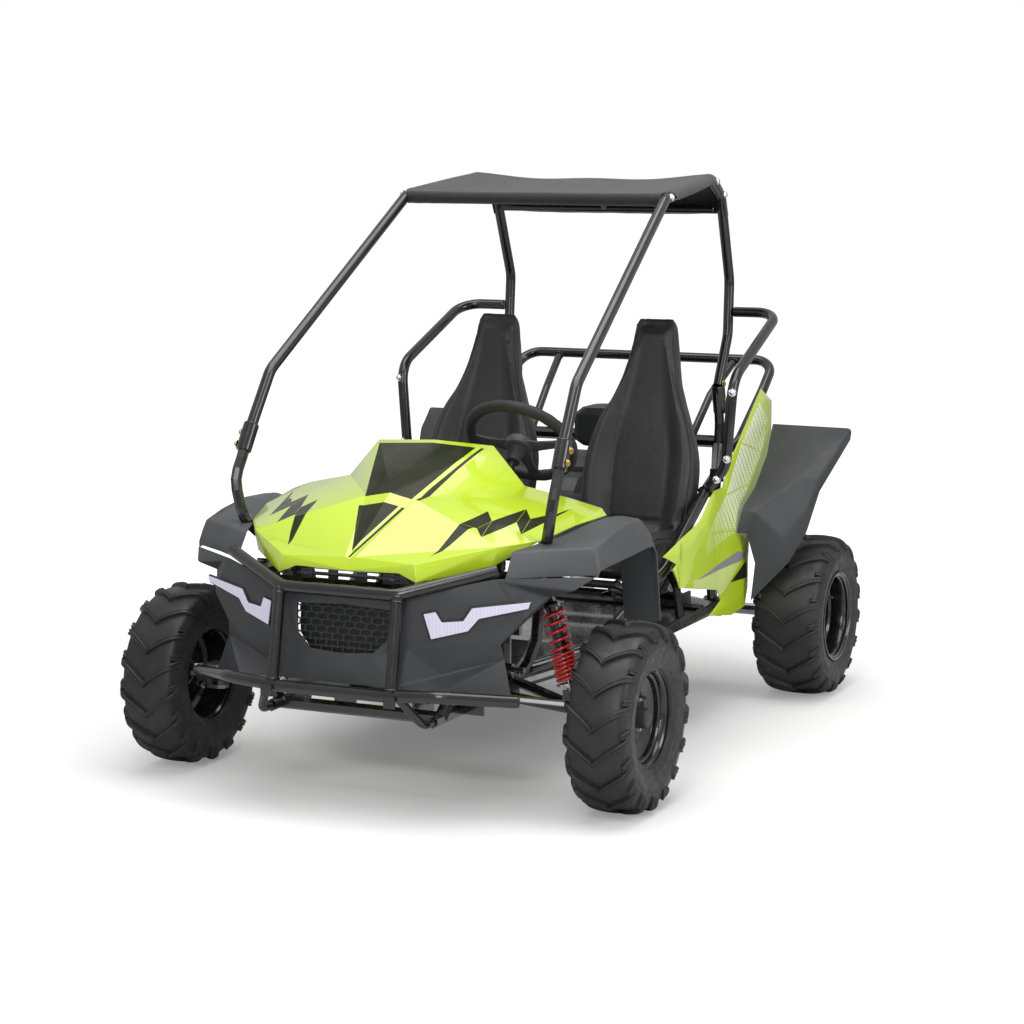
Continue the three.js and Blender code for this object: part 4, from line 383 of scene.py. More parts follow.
def on_marks():
    """A copy of one object on each given point, standing along the point's own direction."""
    rule = Rule("on marks", Copied="O", Finish="M")
    looks = rule.step("InputNamedAttribute", {"data_type": "FLOAT_VECTOR"}, Name="stands")
    align = rule.step("FunctionNodeAlignRotationToVector", {"axis": "Z"}, Vector=looks.outputs[0])
    shape = rule.step("ObjectInfo", Object=rule.given("Copied"))
    copies = rule.step(
        "InstanceOnPoints",
        Points=rule.given("Geometry"),
        Instance=shape.outputs["Geometry"],
        Rotation=align.outputs[0],
    )
    return rule.end(copies.outputs[0], rule.given("Finish"))


def bars_on_edges():
    """A thin bar along each given edge."""
    rule = Rule("bars on edges", Radius="F", Finish="M")
    lines = rule.step("MeshToCurve", Mesh=rule.given("Geometry"))
    ring = rule.step("CurvePrimitiveCircle", Resolution=8, Radius=rule.given("Radius"))
    bars = rule.step("CurveToMesh", Curve=lines.outputs[0], Profile_Curve=ring.outputs[0], Fill_Caps=True)
    return rule.end(bars.outputs[0], rule.given("Finish"))


def softened():
    """The given shape, shaded as round where its faces meet at less than the crease."""
    rule = Rule("softened", Crease="F")
    smooth = rule.step("SetShadeSmooth", {"domain": "FACE"}, Geometry=rule.given("Geometry"))
    angle = rule.step("InputMeshEdgeAngle")
    sharp = rule.step(
        "FunctionNodeCompare",
        {"data_type": "FLOAT", "operation": "GREATER_THAN"},
        A=angle.outputs[0],
        B=rule.given("Crease"),
    )
    edges = rule.step(
        "SetShadeSmooth",
        {"domain": "EDGE"},
        Geometry=smooth.outputs[0],
        Selection=sharp.outputs[0],
        Shade_Smooth=False,
    )
    rule.tree.links.new(edges.outputs[0], rule.output.inputs[0])
    return rule


ROUND_AN_AXLE = round_an_axle()
ON_MARKS = on_marks()
BARS_ON_EDGES = bars_on_edges()
SOFTENED = softened()


# Finishes


def ink(code):
    """A colour as light, from its web code."""
    parts = [int(code[i : i + 2], 16) / 255 for i in (0, 2, 4)]
    return (*[p / 12.92 if p <= 0.04045 else ((p + 0.055) / 1.055) ** 2.4 for p in parts], 1)


class Finish:
    """A material built up one node at a time."""

    def __init__(self, name, colour, rough, metal=0.0, **sockets):
        self.material = bpy.data.materials.new(name)
        self.material.use_nodes = True
        self.nodes, self.links = self.material.node_tree.nodes, self.material.node_tree.links
        self.shader = next(n for n in self.nodes if n.type == "BSDF_PRINCIPLED")
        self.place = self.node("ShaderNodeTexCoord").outputs["Object"]
        self.colour = self.shade = ink(colour)
        self.rough = rough
        self.film = None
        for key, value in {"Metallic": metal, **sockets}.items():
            self.set(key, value)
        self.set("Base Color", self.colour)
        self.set("Roughness", rough)

    def node(self, kind, settings=None, **inputs):
        node = self.nodes.new(kind)
        for key, value in (settings or {}).items():
            setattr(node, key, value)
        for key, value in inputs.items():
            self.plug(value, node.inputs[key.replace("_", " ")])
        return node

    def plug(self, value, socket):
        if isinstance(value, bpy.types.NodeSocket):
            self.links.new(value, socket)
        else:
            socket.default_value = value

    def set(self, key, value):
        self.plug(value, self.shader.inputs[key])

    def math(self, operation, *values, clamp=False):
        node = self.node("ShaderNodeMath", {"operation": operation, "use_clamp": clamp})
        for value, socket in zip(values, node.inputs):
            self.plug(value, socket)
        return node.outputs[0]

    def at_scale(self, stretch):
        node = self.node("ShaderNodeVectorMath", {"operation": "MULTIPLY"})
        self.plug(self.place, node.inputs[0])
        node.inputs[1].default_value = stretch
        return node.outputs[0]

    def noise(self, scale, detail=3.0, low=0.0, high=1.0, stretch=None):
        """Clouds from 0 to 1, sharpened between low and high."""
        vector = self.at_scale(stretch) if stretch else self.place
        made = self.node("ShaderNodeTexNoise", Vector=vector, Scale=scale, Detail=detail, Roughness=0.5)
        return self.ranged(made.outputs[0], low, high)

    def cells(self, scale, low=0.0, high=1.0, feature="F1"):
        """Pebbles, or with the feature DISTANCE_TO_EDGE the creases between them."""
        made = self.node("ShaderNodeTexVoronoi", {"feature": feature}, Vector=self.place, Scale=scale)
        return self.ranged(made.outputs["Distance"], low, high)

    def ranged(self, value, low, high, first=0.0, last=1.0):
        """The value, carried from low and high to first and last."""
        if (low, high, first, last) == (0, 1, 0, 1):
            return value
        node = self.node("ShaderNodeMapRange", {"clamp": True})
        for socket, item in zip(node.inputs, (value, low, high, first, last)):
            self.plug(item, socket)
        return node.outputs[0]

    def mix(self, share, a, b):
        node = self.node("ShaderNodeMix", {"data_type": "RGBA"})
        for index, value in ((0, share), (6, a), (7, b)):
            self.plug(value, node.inputs[index])
        return node.outputs[2]

    def spread(self, share, amount=0.2):
        """Makes the colour darker and lighter by a share of itself."""
        dark = tuple(c * (1 - amount) for c in self.colour[:3]) + (1,)
        light = tuple(min(1, c * (1 + amount)) for c in self.colour[:3]) + (1,)
        self.shade = self.mix(share, dark, light)
        self.set("Base Color", self.shade)
        return self

    def uneven(self, share, amount=0.1):
        return self.varied("Roughness", share, self.rough - amount, self.rough + amount)

    def varied(self, key, share, first, last):
        """Lets a socket's value go from first to last with a share."""
        self.set(key, self.ranged(share, 0.0, 1.0, first, last))
        return self

    def relief(self, *layers):
        """Bumps the surface by (height, depth in metres) layers."""
        normal = None
        for height, depth in layers:
            node = self.node("ShaderNodeBump", Height=height, Distance=depth)
            node.inputs["Strength"].default_value = 1.0
            if normal is not None:
                self.links.new(normal, node.inputs["Normal"])
            normal = node.outputs[0]
        self.set("Normal", normal)
        return self

    def worn_edges(self, colour, radius=0.0015, low=0.02, high=0.25, share=0.6):
        """Lightens edges, where handling rubs a surface."""
        soft = self.node("ShaderNodeBevel", {"samples": 4}, Radius=radius).outputs[0]
        plain = self.node("ShaderNodeNewGeometry").outputs["Normal"]
        facing = self.node("ShaderNodeVectorMath", {"operation": "DOT_PRODUCT"})
        self.plug(soft, facing.inputs[0])
        self.plug(plain, facing.inputs[1])
        edge = self.ranged(self.math("SUBTRACT", 1.0, facing.outputs["Value"]), low, high, 0.0, share)
        rubbed = self.math("MULTIPLY", edge, self.noise(180, 3, 0.35, 0.65))
        self.shade = self.mix(rubbed, self.shade, ink(colour))
        self.set("Base Color", self.shade)
        return self

    def dusty(self, colour="8a8578", share=0.12):
        """Lays a thin film of dust where clouds gather, most on what faces up."""
        normal = self.node("ShaderNodeNewGeometry").outputs["Normal"]
        up = self.node("ShaderNodeSeparateXYZ", Vector=normal).outputs[2]
        dust = self.math("MULTIPLY", self.ranged(up, 0.0, 1.0, 0.3, 1.0), self.noise(14, 5, 0.4, 0.75))
        self.shade = self.mix(self.math("MULTIPLY", dust, share), self.shade, ink(colour))
        self.set("Base Color", self.shade)
        return self

    def inside(self, corners, across, up, edge=0.0006):
        """1 inside an outline given in millimetres, and 0 outside, from two lengths in metres."""
        area = sum(a[0] * b[1] - b[0] * a[1] for a, b in zip(corners, corners[1:] + corners[:1]))
        turn = 1 if area > 0 else -1
        flat = self.node("ShaderNodeCombineXYZ", X=across, Y=up, Z=1.0).outputs[0]
        least = None
        for a, b in zip(corners, corners[1:] + corners[:1]):
            run = Vector((b[0] - a[0], b[1] - a[1])).normalized() * turn
            away = -run.y, run.x
            rest = -(away[0] * a[0] + away[1] * a[1]) / MM
            side = self.node("ShaderNodeVectorMath", {"operation": "DOT_PRODUCT"})
            self.plug(flat, side.inputs[0])
            side.inputs[1].default_value = (away[0], away[1], rest)
            value = side.outputs["Value"]
            least = value if least is None else self.math("MINIMUM", least, value)
        return self.ranged(least, 0.0, edge)

    def any_of(self, *shares):
        """1 where any of the shares is."""
        most = shares[0]
        for share in shares[1:]:
            most = self.math("MAXIMUM", most, share)
        return most


def glossy_black(name):
    coat = {"Coat Weight": 0.6, "Coat Roughness": 0.05, "Specular IOR Level": 0.45}
    f = Finish(name, "101012", 0.24, **coat)
    f.spread(f.noise(60, 4), 0.25).uneven(f.noise(35, 5, 0.3, 0.7), 0.08)
    f.worn_edges("55565a", share=0.25).dusty(share=0.05)
    scratches = f.noise(900, 2, 0.62, 0.7, stretch=(1, 0.06, 1))
    f.relief((f.noise(420, 2), 0.00012), (scratches, 0.00002))
    return f.material


def moulded_plastic(name, colour, rough=0.5, tone=0.12):
    f = Finish(name, colour, rough, **{"Specular IOR Level": 0.45})
    f.spread(f.noise(9, 5), tone).uneven(f.noise(40, 4), 0.06)
    f.worn_edges("9a9b9f", share=0.35).dusty(share=0.07)
    f.relief((f.cells(900, 0.0, 0.6), 0.00009), (f.noise(1800, 2), 0.00006), (f.noise(11, 2), 0.0006))
    return f.material


def bodywork_paint(name, marks):
    """Lime paint under a clear coat, with the black and grey film shapes that marks lays on."""
    f = Finish(name, "c4e024", 0.3, **{"Coat Roughness": 0.05})
    f.spread(f.noise(6, 4), 0.035).uneven(f.noise(50, 4), 0.05)
    marks(f)
    f.worn_edges("e6f29a", share=0.35).dusty("b0a88a", 0.04)
    f.varied("Coat Weight", f.film, 0.9, 0.12)
    f.varied("Specular IOR Level", f.film, 0.5, 0.12)
    f.relief((f.noise(350, 2), 0.00005), (f.film, 0.00008), (f.noise(7, 2), 0.0008))
    return f.material


def lay_film(f, share, code):
    """Lays a coloured film over the paint where share is 1."""
    fine = f.ranged(f.noise(500, 2), 0.0, 1.0, 0.96, 1.0)
    f.shade = f.mix(f.math("MULTIPLY", share, fine), f.shade, ink(code))
    f.film = share if f.film is None else f.math("MAXIMUM", f.film, share)


def axes(f):
    """How far across, behind the front axle and above the ground a point is, in metres."""
    x, y, z = f.node("ShaderNodeSeparateXYZ", Vector=f.place).outputs
    return x, f.math("ADD", y, AXLE_TO_MIDDLE / MM), z


# Outlines of the film shapes: across and back on the bonnet, back and up on the side panels
ZIGZAG = (
    [(164, -218), (189, -145), (219, -77), (183, -80)],
    [(183, -80), (219, -77), (229, -24), (204, 10)],
    [(219, -77), (243, -107), (229, -24)],
    [(229, -24), (243, -107), (272, 6), (264, 75)],
    [(272, 6), (302, -36), (289, 41), (264, 75)],
    [(302, -36), (323, 62), (310, 80), (289, 41)],
    [(310, 80), (323, 62), (347, 171), (331, 122)],
)
BONNET_SHAPES = (
    [(-132, 160), (105, 160), (53, -48), (-61, -46)],
    [(117, 160), (126, 160), (70, -47), (62, -47)],
    [(-61, -73), (35, -73), (-7, -207)],
    [(42, -73), (50, -73), (-1, -226), (-7, -226)],
)
DOTTED_BAND = (
    [(1262, 742), (1318, 690), (1262, 610), (1103, 652)],
    [(1103, 652), (1262, 610), (1139, 545), (960, 540)],
    [(960, 540), (1139, 545), (1040, 445), (815, 465)],
    [(815, 465), (1040, 445), (790, 415)],
)
PALE_PATCH = [(697, 372), (1048, 366), (904, 306), (700, 318)]
GREY_WEDGE = [(704, 368), (1028, 394), (1097, 380), (1060, 362), (769, 368)]
BLACK_ARROW = (
    [(1190, 452), (1005, 398), (1097, 380), (1092, 358)],
    [(1070, 358), (1092, 358), (1100, 318), (962, 325)],
)
DOT_ROWS, DOT_COLUMNS = 640.0, 330.0  # radians to the metre


def bonnet_marks(f):
    x, y, _ = axes(f)
    wide = f.math("ABSOLUTE", x)
    middle = f.any_of(*[f.inside(s, x, y) for s in BONNET_SHAPES])
    sides = f.any_of(*[f.inside(s, wide, y) for s in ZIGZAG])
    lay_film(f, f.any_of(middle, sides), "0b0b0d")


def side_panel_marks(f):
    _, y, z = axes(f)
    inside = f.any_of(*[f.inside(part, y, z, 0.004) for part in DOTTED_BAND])
    slant = f.math("ADD", f.math("MULTIPLY", y, 0.62), f.math("MULTIPLY", z, -0.78))
    along = f.math("ADD", f.math("MULTIPLY", y, 0.78), f.math("MULTIPLY", z, 0.62))
    rows = f.math("SINE", f.math("MULTIPLY", slant, DOT_ROWS))
    columns = f.math("SINE", f.math("MULTIPLY", along, DOT_COLUMNS))
    size = f.ranged(slant, 0.16, 0.36, 1.25, -0.9)
    dots = f.ranged(f.math("ADD", f.math("ADD", rows, columns), size), 0.0, 0.25)
    fade = f.ranged(along, 0.92, 1.12, 0.15, 0.95)
    lay_film(f, f.math("MULTIPLY", f.math("MULTIPLY", inside, dots), fade), "f6f8ea")
    lay_film(f, f.math("MULTIPLY", f.inside(PALE_PATCH, y, z), 0.45), "eef3c8")
    lay_film(f, f.inside(GREY_WEDGE, y, z), "8b8d92")
    lay_film(f, f.any_of(*[f.inside(part, y, z) for part in BLACK_ARROW]), "141416")


def metal(name, colour, rough, brush=(1, 1, 40), depth=0.00003, stain=0.15):
    """Bare metal with brush marks a depth deep, stained by a share."""
    f = Finish(name, colour, rough, 1.0)
    f.spread(f.noise(25, 5), stain)
    f.uneven(f.noise(300, 4, 0.3, 0.7, stretch=brush), min(0.1, rough * 0.6))
    f.worn_edges("ffffff", share=0.3)
    f.relief((f.noise(500, 3, stretch=brush), depth))
    return f.material


def cast_metal(name, colour):
    f = Finish(name, colour, 0.5, 0.75)
    f.spread(f.noise(30, 5), 0.22).uneven(f.noise(80, 4), 0.12)
    f.worn_edges("c8cacc", share=0.4).dusty(share=0.12)
    f.relief((f.noise(650, 3), 0.00018), (f.cells(260), 0.00008))
    return f.material


def rubber(name):
    f = Finish(name, "1b1b1d", 0.5, **{"Specular IOR Level": 0.5})
    f.spread(f.noise(22, 6), 0.3).uneven(f.noise(60, 5, 0.3, 0.7), 0.12)
    f.worn_edges("4a4a4c", radius=0.002, share=0.5).dusty("6d6a64", 0.14)
    f.relief((f.noise(900, 3), 0.00008), (f.cells(120, 0.0, 0.5), 0.00012), (f.noise(60, 3), 0.0002))
    return f.material


def vinyl(name):
    f = Finish(name, "1b1b1d", 0.4, **{"Specular IOR Level": 0.5, "Sheen Weight": 0.06})
    f.spread(f.noise(12, 5), 0.16).uneven(f.noise(30, 4), 0.06).dusty(share=0.04)
    pebble, creases = f.cells(620, 0.02, 0.55), f.cells(430.0, 0.0, 0.12, "DISTANCE_TO_EDGE")
    f.relief((pebble, 0.00012), (creases, 0.0001), (f.noise(35, 3), 0.0009))
    return f.material


def cloth(name):
    f = Finish(name, "16171a", 0.78, **{"Sheen Weight": 0.25, "Sheen Roughness": 0.5})
    x, y, z = axes(f)
    threads = 4200.0  # radians to the metre
    warp = f.math("SINE", f.math("MULTIPLY", x, threads))
    weft = f.math("SINE", f.math("MULTIPLY", f.math("ADD", y, z), threads))
    weave = f.ranged(f.math("MULTIPLY", warp, weft), -1.0, 1.0)
    f.spread(f.math("MULTIPLY", weave, f.noise(20, 4, 0.2, 0.8)), 0.45)
    f.uneven(f.noise(60, 4), 0.08).dusty(share=0.05)
    wrinkles = f.noise(150, 3, stretch=(0.3, 1, 1))
    f.relief((weave, 0.00018), (f.noise(45, 4), 0.0012), (wrinkles, 0.0005))
    return f.material


def coated_red(name):
    f = Finish(name, "c01218", 0.26, **{"Coat Weight": 0.7, "Coat Roughness": 0.06})
    f.spread(f.noise(50, 4), 0.15).uneven(f.noise(80, 4), 0.08)
    f.worn_edges("7a2a28", share=0.4).dusty(share=0.06)
    f.relief((f.noise(600, 2), 0.00008))
    return f.material


def lamp_lens(name):
    f = Finish(name, "d6d2e8", 0.22, **{"Coat Weight": 0.5, "Emission Strength": 0.1})
    ribs = f.math("SINE", f.math("MULTIPLY", axes(f)[0], 900.0))
    f.spread(f.noise(90, 3), 0.05)
    f.set("Emission Color", f.mix(f.ranged(ribs, -1.0, 1.0), ink("d9d5f0"), ink("ffffff")))
    f.relief((ribs, 0.0002), (f.noise(400, 2), 0.00005))
    return f.material


BLACK = glossy_black("gloss black paint")
LIGHT_PLASTIC = moulded_plastic("light grey plastic", "4b4c50")
DARK_PLASTIC = moulded_plastic("dark grey plastic", "37383b")
BLACK_PLASTIC = moulded_plastic("black plastic", "1e1f21", 0.45)
BONNET_PAINT = bodywork_paint("bonnet lime", bonnet_marks)
SIDE_PAINT = bodywork_paint("side panel lime", side_panel_marks)
RUBBER = rubber("tread rubber")
VINYL = vinyl("black vinyl")
CLOTH = cloth("roof cloth")
RED = coated_red("spring red")
STEEL = metal("bright steel", "c4c7ca", 0.24)
CHROME = metal("chromed steel", "e4e6e8", 0.1, (1, 1, 1), 0.00001, 0.06)
ZINC = metal("yellow zinc", "cdb069", 0.28, (1, 1, 1), 0.00002, 0.25)
CHAIN_STEEL = metal("oiled chain steel", "77736c", 0.35, (1, 1, 1), 0.00004, 0.35)
CAST = cast_metal("cast aluminium", "7c7e81")
LENS = lamp_lens("lamp lens")
GRIP = moulded_plastic("grip rubber", "18181a", 0.6, 0.2)


# Tubes of the cage, the sides, the roof and the bumper

CAGE_LINE = [
    (375.6, 9, 754), (370, 95, 884), (334, 695, 1258), (307, 1062, 1298),
    (305, 1149, 1253), (301, 1231, 1045), (302, 1222, 909), (300, 1160, 785),
]
SILL_LINE = [
    (232, 131, 252), (330, 300, 280), (378, 600, 412), (372, 880, 556), (372, 960, 590), (304, 1154, 636),
]
SIDE_BAR_LINE = [(302, 1227, 966), (435, 1220, 967), (441, 877, 831), (425, 877, 620), (374, 880, 558)]
HOOP_LINE = [(298, 1172, 600), (330, 1239, 640), (354, 1346, 760), (354, 1436, 829)]
HOOP_BRACE = [(248, 1436, 829), (229, 1300, 747), (220, 1178, 640)]
BUMPER_UPPER = [(312, -174, 521), (134, -279, 473)]
BUMPER_LOWER = [(376, -217, 262), (246, -311, 278), (120, -316, 270)]
BUMPER_POST = [(137, -280, 473), (137.5, -297, 372), (138, -314, 272)]
BUMPER_STAY = [(150, -315, 272), (190, -270, 205), (190, -231, 205)]
SLEEVES = [((378, -14, 714), (375, 18, 769)), ((300, 1181, 717), (300, 1160, 785))]
ROOF_CROSSBARS = [(334, 694, 1256), (303, 1149, 1222)]  # where each crossbar meets the left cage tube
ROOF_STAY = [(0, 706, 1256), (0, 1060, 1276), (0, 1140, 1224)]

# Radii of the tubes and of their bends
CAGE_TUBE, SLEEVE, SILL_TUBE, BRACE_TUBE, ROOF_BAR, ROOF_STAY_BAR = 12.7, 17.2, 14, 10, 10, 8
BUMPER_TUBE, POST_TUBE, STAY_TUBE = 13, 12.5, 9
CAGE_BEND, SILL_BEND, BUMPER_BEND, BRACE_BEND, STAY_BEND = 70, 120, 60, 50, 30
TUBE_SIDES, SLIM_SIDES, THIN_SIDES = 28, 24, 20


def across_kart(line):
    """The line of one side, carried on through the other side's."""
    return [*line, *[(-x, y, z) for x, y, z in reversed(line)]]


def extended(line, start=0.0, end=0.0):
    """The line with its ends drawn out or, below 0, drawn in."""
    points = [Vector(p) for p in line]
    first, last = (points[0] - points[1]).normalized(), (points[-1] - points[-2]).normalized()
    return [points[0] + first * start, *points[1:-1], points[-1] + last * end]


def weld_bead(shape, centre, axis, radius, kind=0):
    """Adds the rippled bead of a weld round a tube's end."""
    steps, stands, bead = 48, 0.5, 2.0
    axis = Vector(axis).normalized()
    side = axis.orthogonal().normalized()
    top = axis.cross(side)
    ring = []
    for k in range(steps):
        t = 2 * math.pi * k / steps
        lift = radius + stands + 0.35 * math.sin(9 * t) + 0.25 * math.sin(17 * t)
        ring.append(Vector(centre) + (side * math.cos(t) + top * math.sin(t)) * lift)
    return swept(shape, ring, circle(bead, 8), kind, closed=True)


def end_plug(shape, at, away, radius, kind):
    """Adds the plastic plug in a tube's open end."""
    profile = [(-1, 0), (-1, radius - 0.8), (2.6, radius - 0.8), (3.8, radius - 2.6), (4.2, 0)]
    return turned(shape, profile, at, away, kind, 24)


def black_tube(name, shape, node, *plugs):
    return piece(name, shape, "chassis", BLACK, *plugs, slot="gloss_black", instead_of=node)


def tubes():
    for side, sign in SIDES.items():
        cage = Shape()
        bar(cage, rounded(CAGE_LINE, CAGE_BEND), CAGE_TUBE, sides=TUBE_SIDES)
        for low, high in SLEEVES:
            line = Vector(high) - Vector(low)
            bar(cage, [low, Vector(low) + line * 0.5, high], SLEEVE, sides=TUBE_SIDES, soft=1.6)
            weld_bead(cage, high, line, CAGE_TUBE + 1.5)
        black_tube(f"{side}_cage_tube", cage.on(sign), f"{side}_cage_side")
        sill = Shape()
        bar(sill, rounded(extended(SILL_LINE, -16, -16), SILL_BEND), SILL_TUBE, sides=TUBE_SIDES)
        weld_bead(sill, SILL_LINE[3], (0, 320, 178), SILL_TUBE + 1)
        black_tube(f"{side}_sill_tube", sill.on(sign), f"{side}_sill")
        hand_bar = Shape()
        bar(hand_bar, rounded(extended(SIDE_BAR_LINE, -15, -15), CAGE_BEND), CAGE_TUBE, sides=TUBE_SIDES)
        box(hand_bar, (400, 884, 598), (34, 5, 30))
        black_tube(f"{side}_hand_bar", hand_bar.on(sign), f"{side}_side_bar")
    hoop = Shape()
    bar(hoop, rounded(across_kart(HOOP_LINE), CAGE_BEND), CAGE_TUBE, sides=TUBE_SIDES)
    for sign in SIDES.values():
        brace = Shape()
        bar(brace, rounded(extended(HOOP_BRACE, -8, -6), BRACE_BEND), BRACE_TUBE, sides=SLIM_SIDES)
        weld_bead(brace, (248, 1424, 822), (-19, -136, -82), BRACE_TUBE + 1)
        hoop.join(brace.on(sign))
    black_tube("rear_hoop_tube", hoop, "rear_hoop")
    roof = Shape()
    for x, y, z in ROOF_CROSSBARS:
        reach = x - 14
        bar(roof, [(reach, y, z), (0, y, z), (-reach, y, z)], ROOF_BAR, sides=SLIM_SIDES)
    bar(roof, rounded(ROOF_STAY, BRACE_BEND), ROOF_STAY_BAR, sides=THIN_SIDES)
    black_tube("roof_bars", roof, "roof_frame")


def bumper():
    shape = Shape()
    for line in (BUMPER_UPPER, BUMPER_LOWER):
        bar(shape, rounded(across_kart(line), BUMPER_BEND), BUMPER_TUBE, sides=TUBE_SIDES)
    half = Shape()
    bar(half, BUMPER_POST, POST_TUBE, sides=TUBE_SIDES)
    for place in ((137.2, -282, 461), (137.9, -312, 284)):
        weld_bead(half, place, (0, -34, -201), POST_TUBE + 0.5)
    bar(half, rounded(BUMPER_STAY, STAY_BEND), STAY_TUBE, sides=THIN_SIDES)
    box(half, (143, -331, 262), (26, 5, 26))
    end_plug(half, BUMPER_LOWER[0], (130, 94, -16), BUMPER_TUBE - 0.4, 1)
    shape.join(half).join(half.other_side())
    black_tube("bumper_tubes", shape, "front_bumper", BLACK_PLASTIC)


# Moulded panels: the left half's corners and, by their numbers, its faces

BONNET_POINTS = [
    (0, -240, 510), (0, -228, 533), (12, -227, 536), (120, -242, 512), (160, -243, 497), (154, -237, 532),
    (59, -43, 638), (0, -43, 650), (0, 172, 738), (137, 168, 729), (215, 176, 648), (140, 70, 645),
    (289, -120, 561), (276, -130, 518), (345, -34, 565), (375, 83, 586), (395, 205, 591), (320, 186, 625),
    (380, 214, 604),
]
BONNET_FACES = [
    [1, 2, 6, 7], [7, 6, 9, 8], [2, 5, 12, 6], [6, 11, 10, 9], [6, 12, 11], [12, 14, 11], [14, 15, 11],
    [15, 10, 11], [15, 17, 10], [15, 16, 18, 17], [4, 13, 12, 5], [0, 3, 5, 2, 1], [3, 4, 5], [13, 14, 12],
]
NOSE_POINTS = [
    (0, -262, 468), (151, -256, 462), (109, -258, 442), (0, -258, 442), (149, -250, 357), (105, -264, 375),
    (136, -276, 285), (0, -284, 287), (0, -270, 341), (74, -270, 341), (322, -187, 500), (475, -48, 500),
    (446, -100, 476), (367, -160, 421), (206, -222, 301),
    (320, -174, 334), (240, -272, 284), (350, -186, 254),
    (397, -100, 461), (333, -176, 382),
]
NOSE_FACES = [
    [0, 3, 2, 1], [1, 2, 5, 4], [9, 8, 7, 6, 4, 5], [1, 4, 13, 10], [10, 13, 18, 12, 11], [4, 6, 14, 19, 13],
    [13, 19, 18], [6, 16, 14], [14, 16, 15, 19], [16, 17, 15],
]


def both_halves(points, faces):
    """The panel's faces on both sides of the kart, each cut into a fan from its first corner."""
    half = Shape()
    fans = [[f[0], f[k + 1], f[k + 2]] for f in faces for k in range(len(f) - 2)]
    half.add(points, fans)
    return half.join(half.other_side())


def panel(name, shape, thick, finish, soft, seen_from, segments, **more):
    """A moulded panel: folds rounded, its thickness laid behind what is seen from a point."""
    least_fold = math.radians(4)
    mesh = shape.mesh(name)
    bm = bmesh.new()
    bm.from_mesh(mesh)
    flat = [e for e in bm.edges if len(e.link_faces) == 2 and e.calc_face_angle(0) < least_fold]
    bmesh.ops.dissolve_edges(bm, edges=flat, use_verts=False)
    eye = spot(*seen_from)
    votes = sum((eye - f.calc_center_median()).dot(f.normal) * f.calc_area() for f in bm.faces)
    if votes < 0:
        bmesh.ops.reverse_faces(bm, faces=bm.faces)
    folds = [e for e in bm.edges if len(e.link_faces) == 2 and e.calc_face_angle(0) > least_fold]
    bmesh.ops.bevel(
        bm,
        geom=folds,
        offset=soft / MM,
        offset_type="OFFSET",
        segments=segments,
        profile=0.5,
        affect="EDGES",
        clamp_overlap=True,
    )
    bm.to_mesh(mesh)
    bm.free()
    modifiers = (
        ("SOLIDIFY", {"thickness": thick / MM, "offset": -1.0, "use_even_offset": False}),
        edge_round(0.9, 2, 62),
    )
    return piece(name, mesh, "chassis", finish, modifiers=modifiers, outward=False, crease=38, **more)


def edge_round(width, segments, least_angle):
    """A Bevel's settings for edges sharper than the least angle, in degrees."""
    settings = {"width": width / MM, "segments": segments, "limit_method": "ANGLE"}
    return "BEVEL", {**settings, "angle_limit": math.radians(least_angle)}


def lip_hooks():
    """The dark tabs and the lip under the bonnet's front edge."""
    shape = Shape()
    bar(shape, [(-118, -236, 497), (0, -240, 499), (118, -236, 497)], 4, sides=12)
    for x in (-96, -34, 34, 96):
        box(shape, (x, -238, 497), (26 if abs(x) > 50 else 22, 5, 20))
    piece("bonnet_lip_tabs", shape, "chassis", BLACK_PLASTIC, slot="grey_plastic")


BONNET_WALL, PANEL_WALL, SIDE_WALL = 3.0, 3.6, 4.0


def front_panels():
    bonnet = both_halves(BONNET_POINTS, BONNET_FACES)
    role = {"slot": "lime_gloss", "instead_of": "bonnet"}
    panel("bonnet_shell", bonnet, BONNET_WALL, BONNET_PAINT, 6, (0, -400, 1200), 4, **role)
    nose = both_halves(NOSE_POINTS, NOSE_FACES)
    role = {"slot": "grey_plastic", "instead_of": "nose_panel"}
    panel("nose_shell", nose, PANEL_WALL, DARK_PLASTIC, 5, (0, -1500, 700), 4, **role)
    lip_hooks()


LAMP_OUTLINE = [
    (176, -242, 433), (189, -233, 379), (260, -204, 397),
    (281, -197, 423), (375, -159, 445), (380, -158, 460),
    (268, -204, 446), (251, -210, 419), (211, -226, 416), (200, -233, 438),
]


def flat_outline(shape, outline, raise_by, deep, inset):
    """Adds a plate with a chamfered front from an outline of corners on a panel."""
    corners = [Vector(p) for p in outline]
    normal = Vector((0, 0, 0))
    for a, b in zip(corners, corners[1:] + corners[:1]):
        normal += a.cross(b)
    normal = normal.normalized()
    if normal.y > 0:
        normal = -normal
    count = len(corners)
    drawn = []
    for k, corner in enumerate(corners):
        back, ahead = (corners[k - 1] - corner).normalized(), (corners[(k + 1) % count] - corner).normalized()
        middle = (back + ahead).normalized()
        turning = (corner - corners[k - 1]).cross(corners[(k + 1) % count] - corner).dot(normal)
        facing = 1 if turning * shape_turn(corners, normal) > 0 else -1
        reach = inset / max(0.35, math.sin(back.angle(ahead) / 2))
        drawn.append(corner + middle * facing * reach)
    rows = [
        [c - normal * deep for c in corners],
        [c + normal * (raise_by - inset) for c in corners],
        [c + normal * raise_by for c in drawn],
    ]
    start = len(shape.points)
    grid(shape, rows, closed=True)
    for face in tessellate_polygon([[Vector((c.x, c.z, 0)) for c in drawn]]):
        shape.faces.append([start + 2 * count + i for i in face])
        shape.kinds.append(0)
    return shape


def shape_turn(corners, normal):
    """Above 0 where the outline runs round its normal."""
    area = Vector((0, 0, 0))
    for a, b in zip(corners, corners[1:] + corners[:1]):
        area += (a - corners[0]).cross(b - corners[0])
    return area.dot(normal)


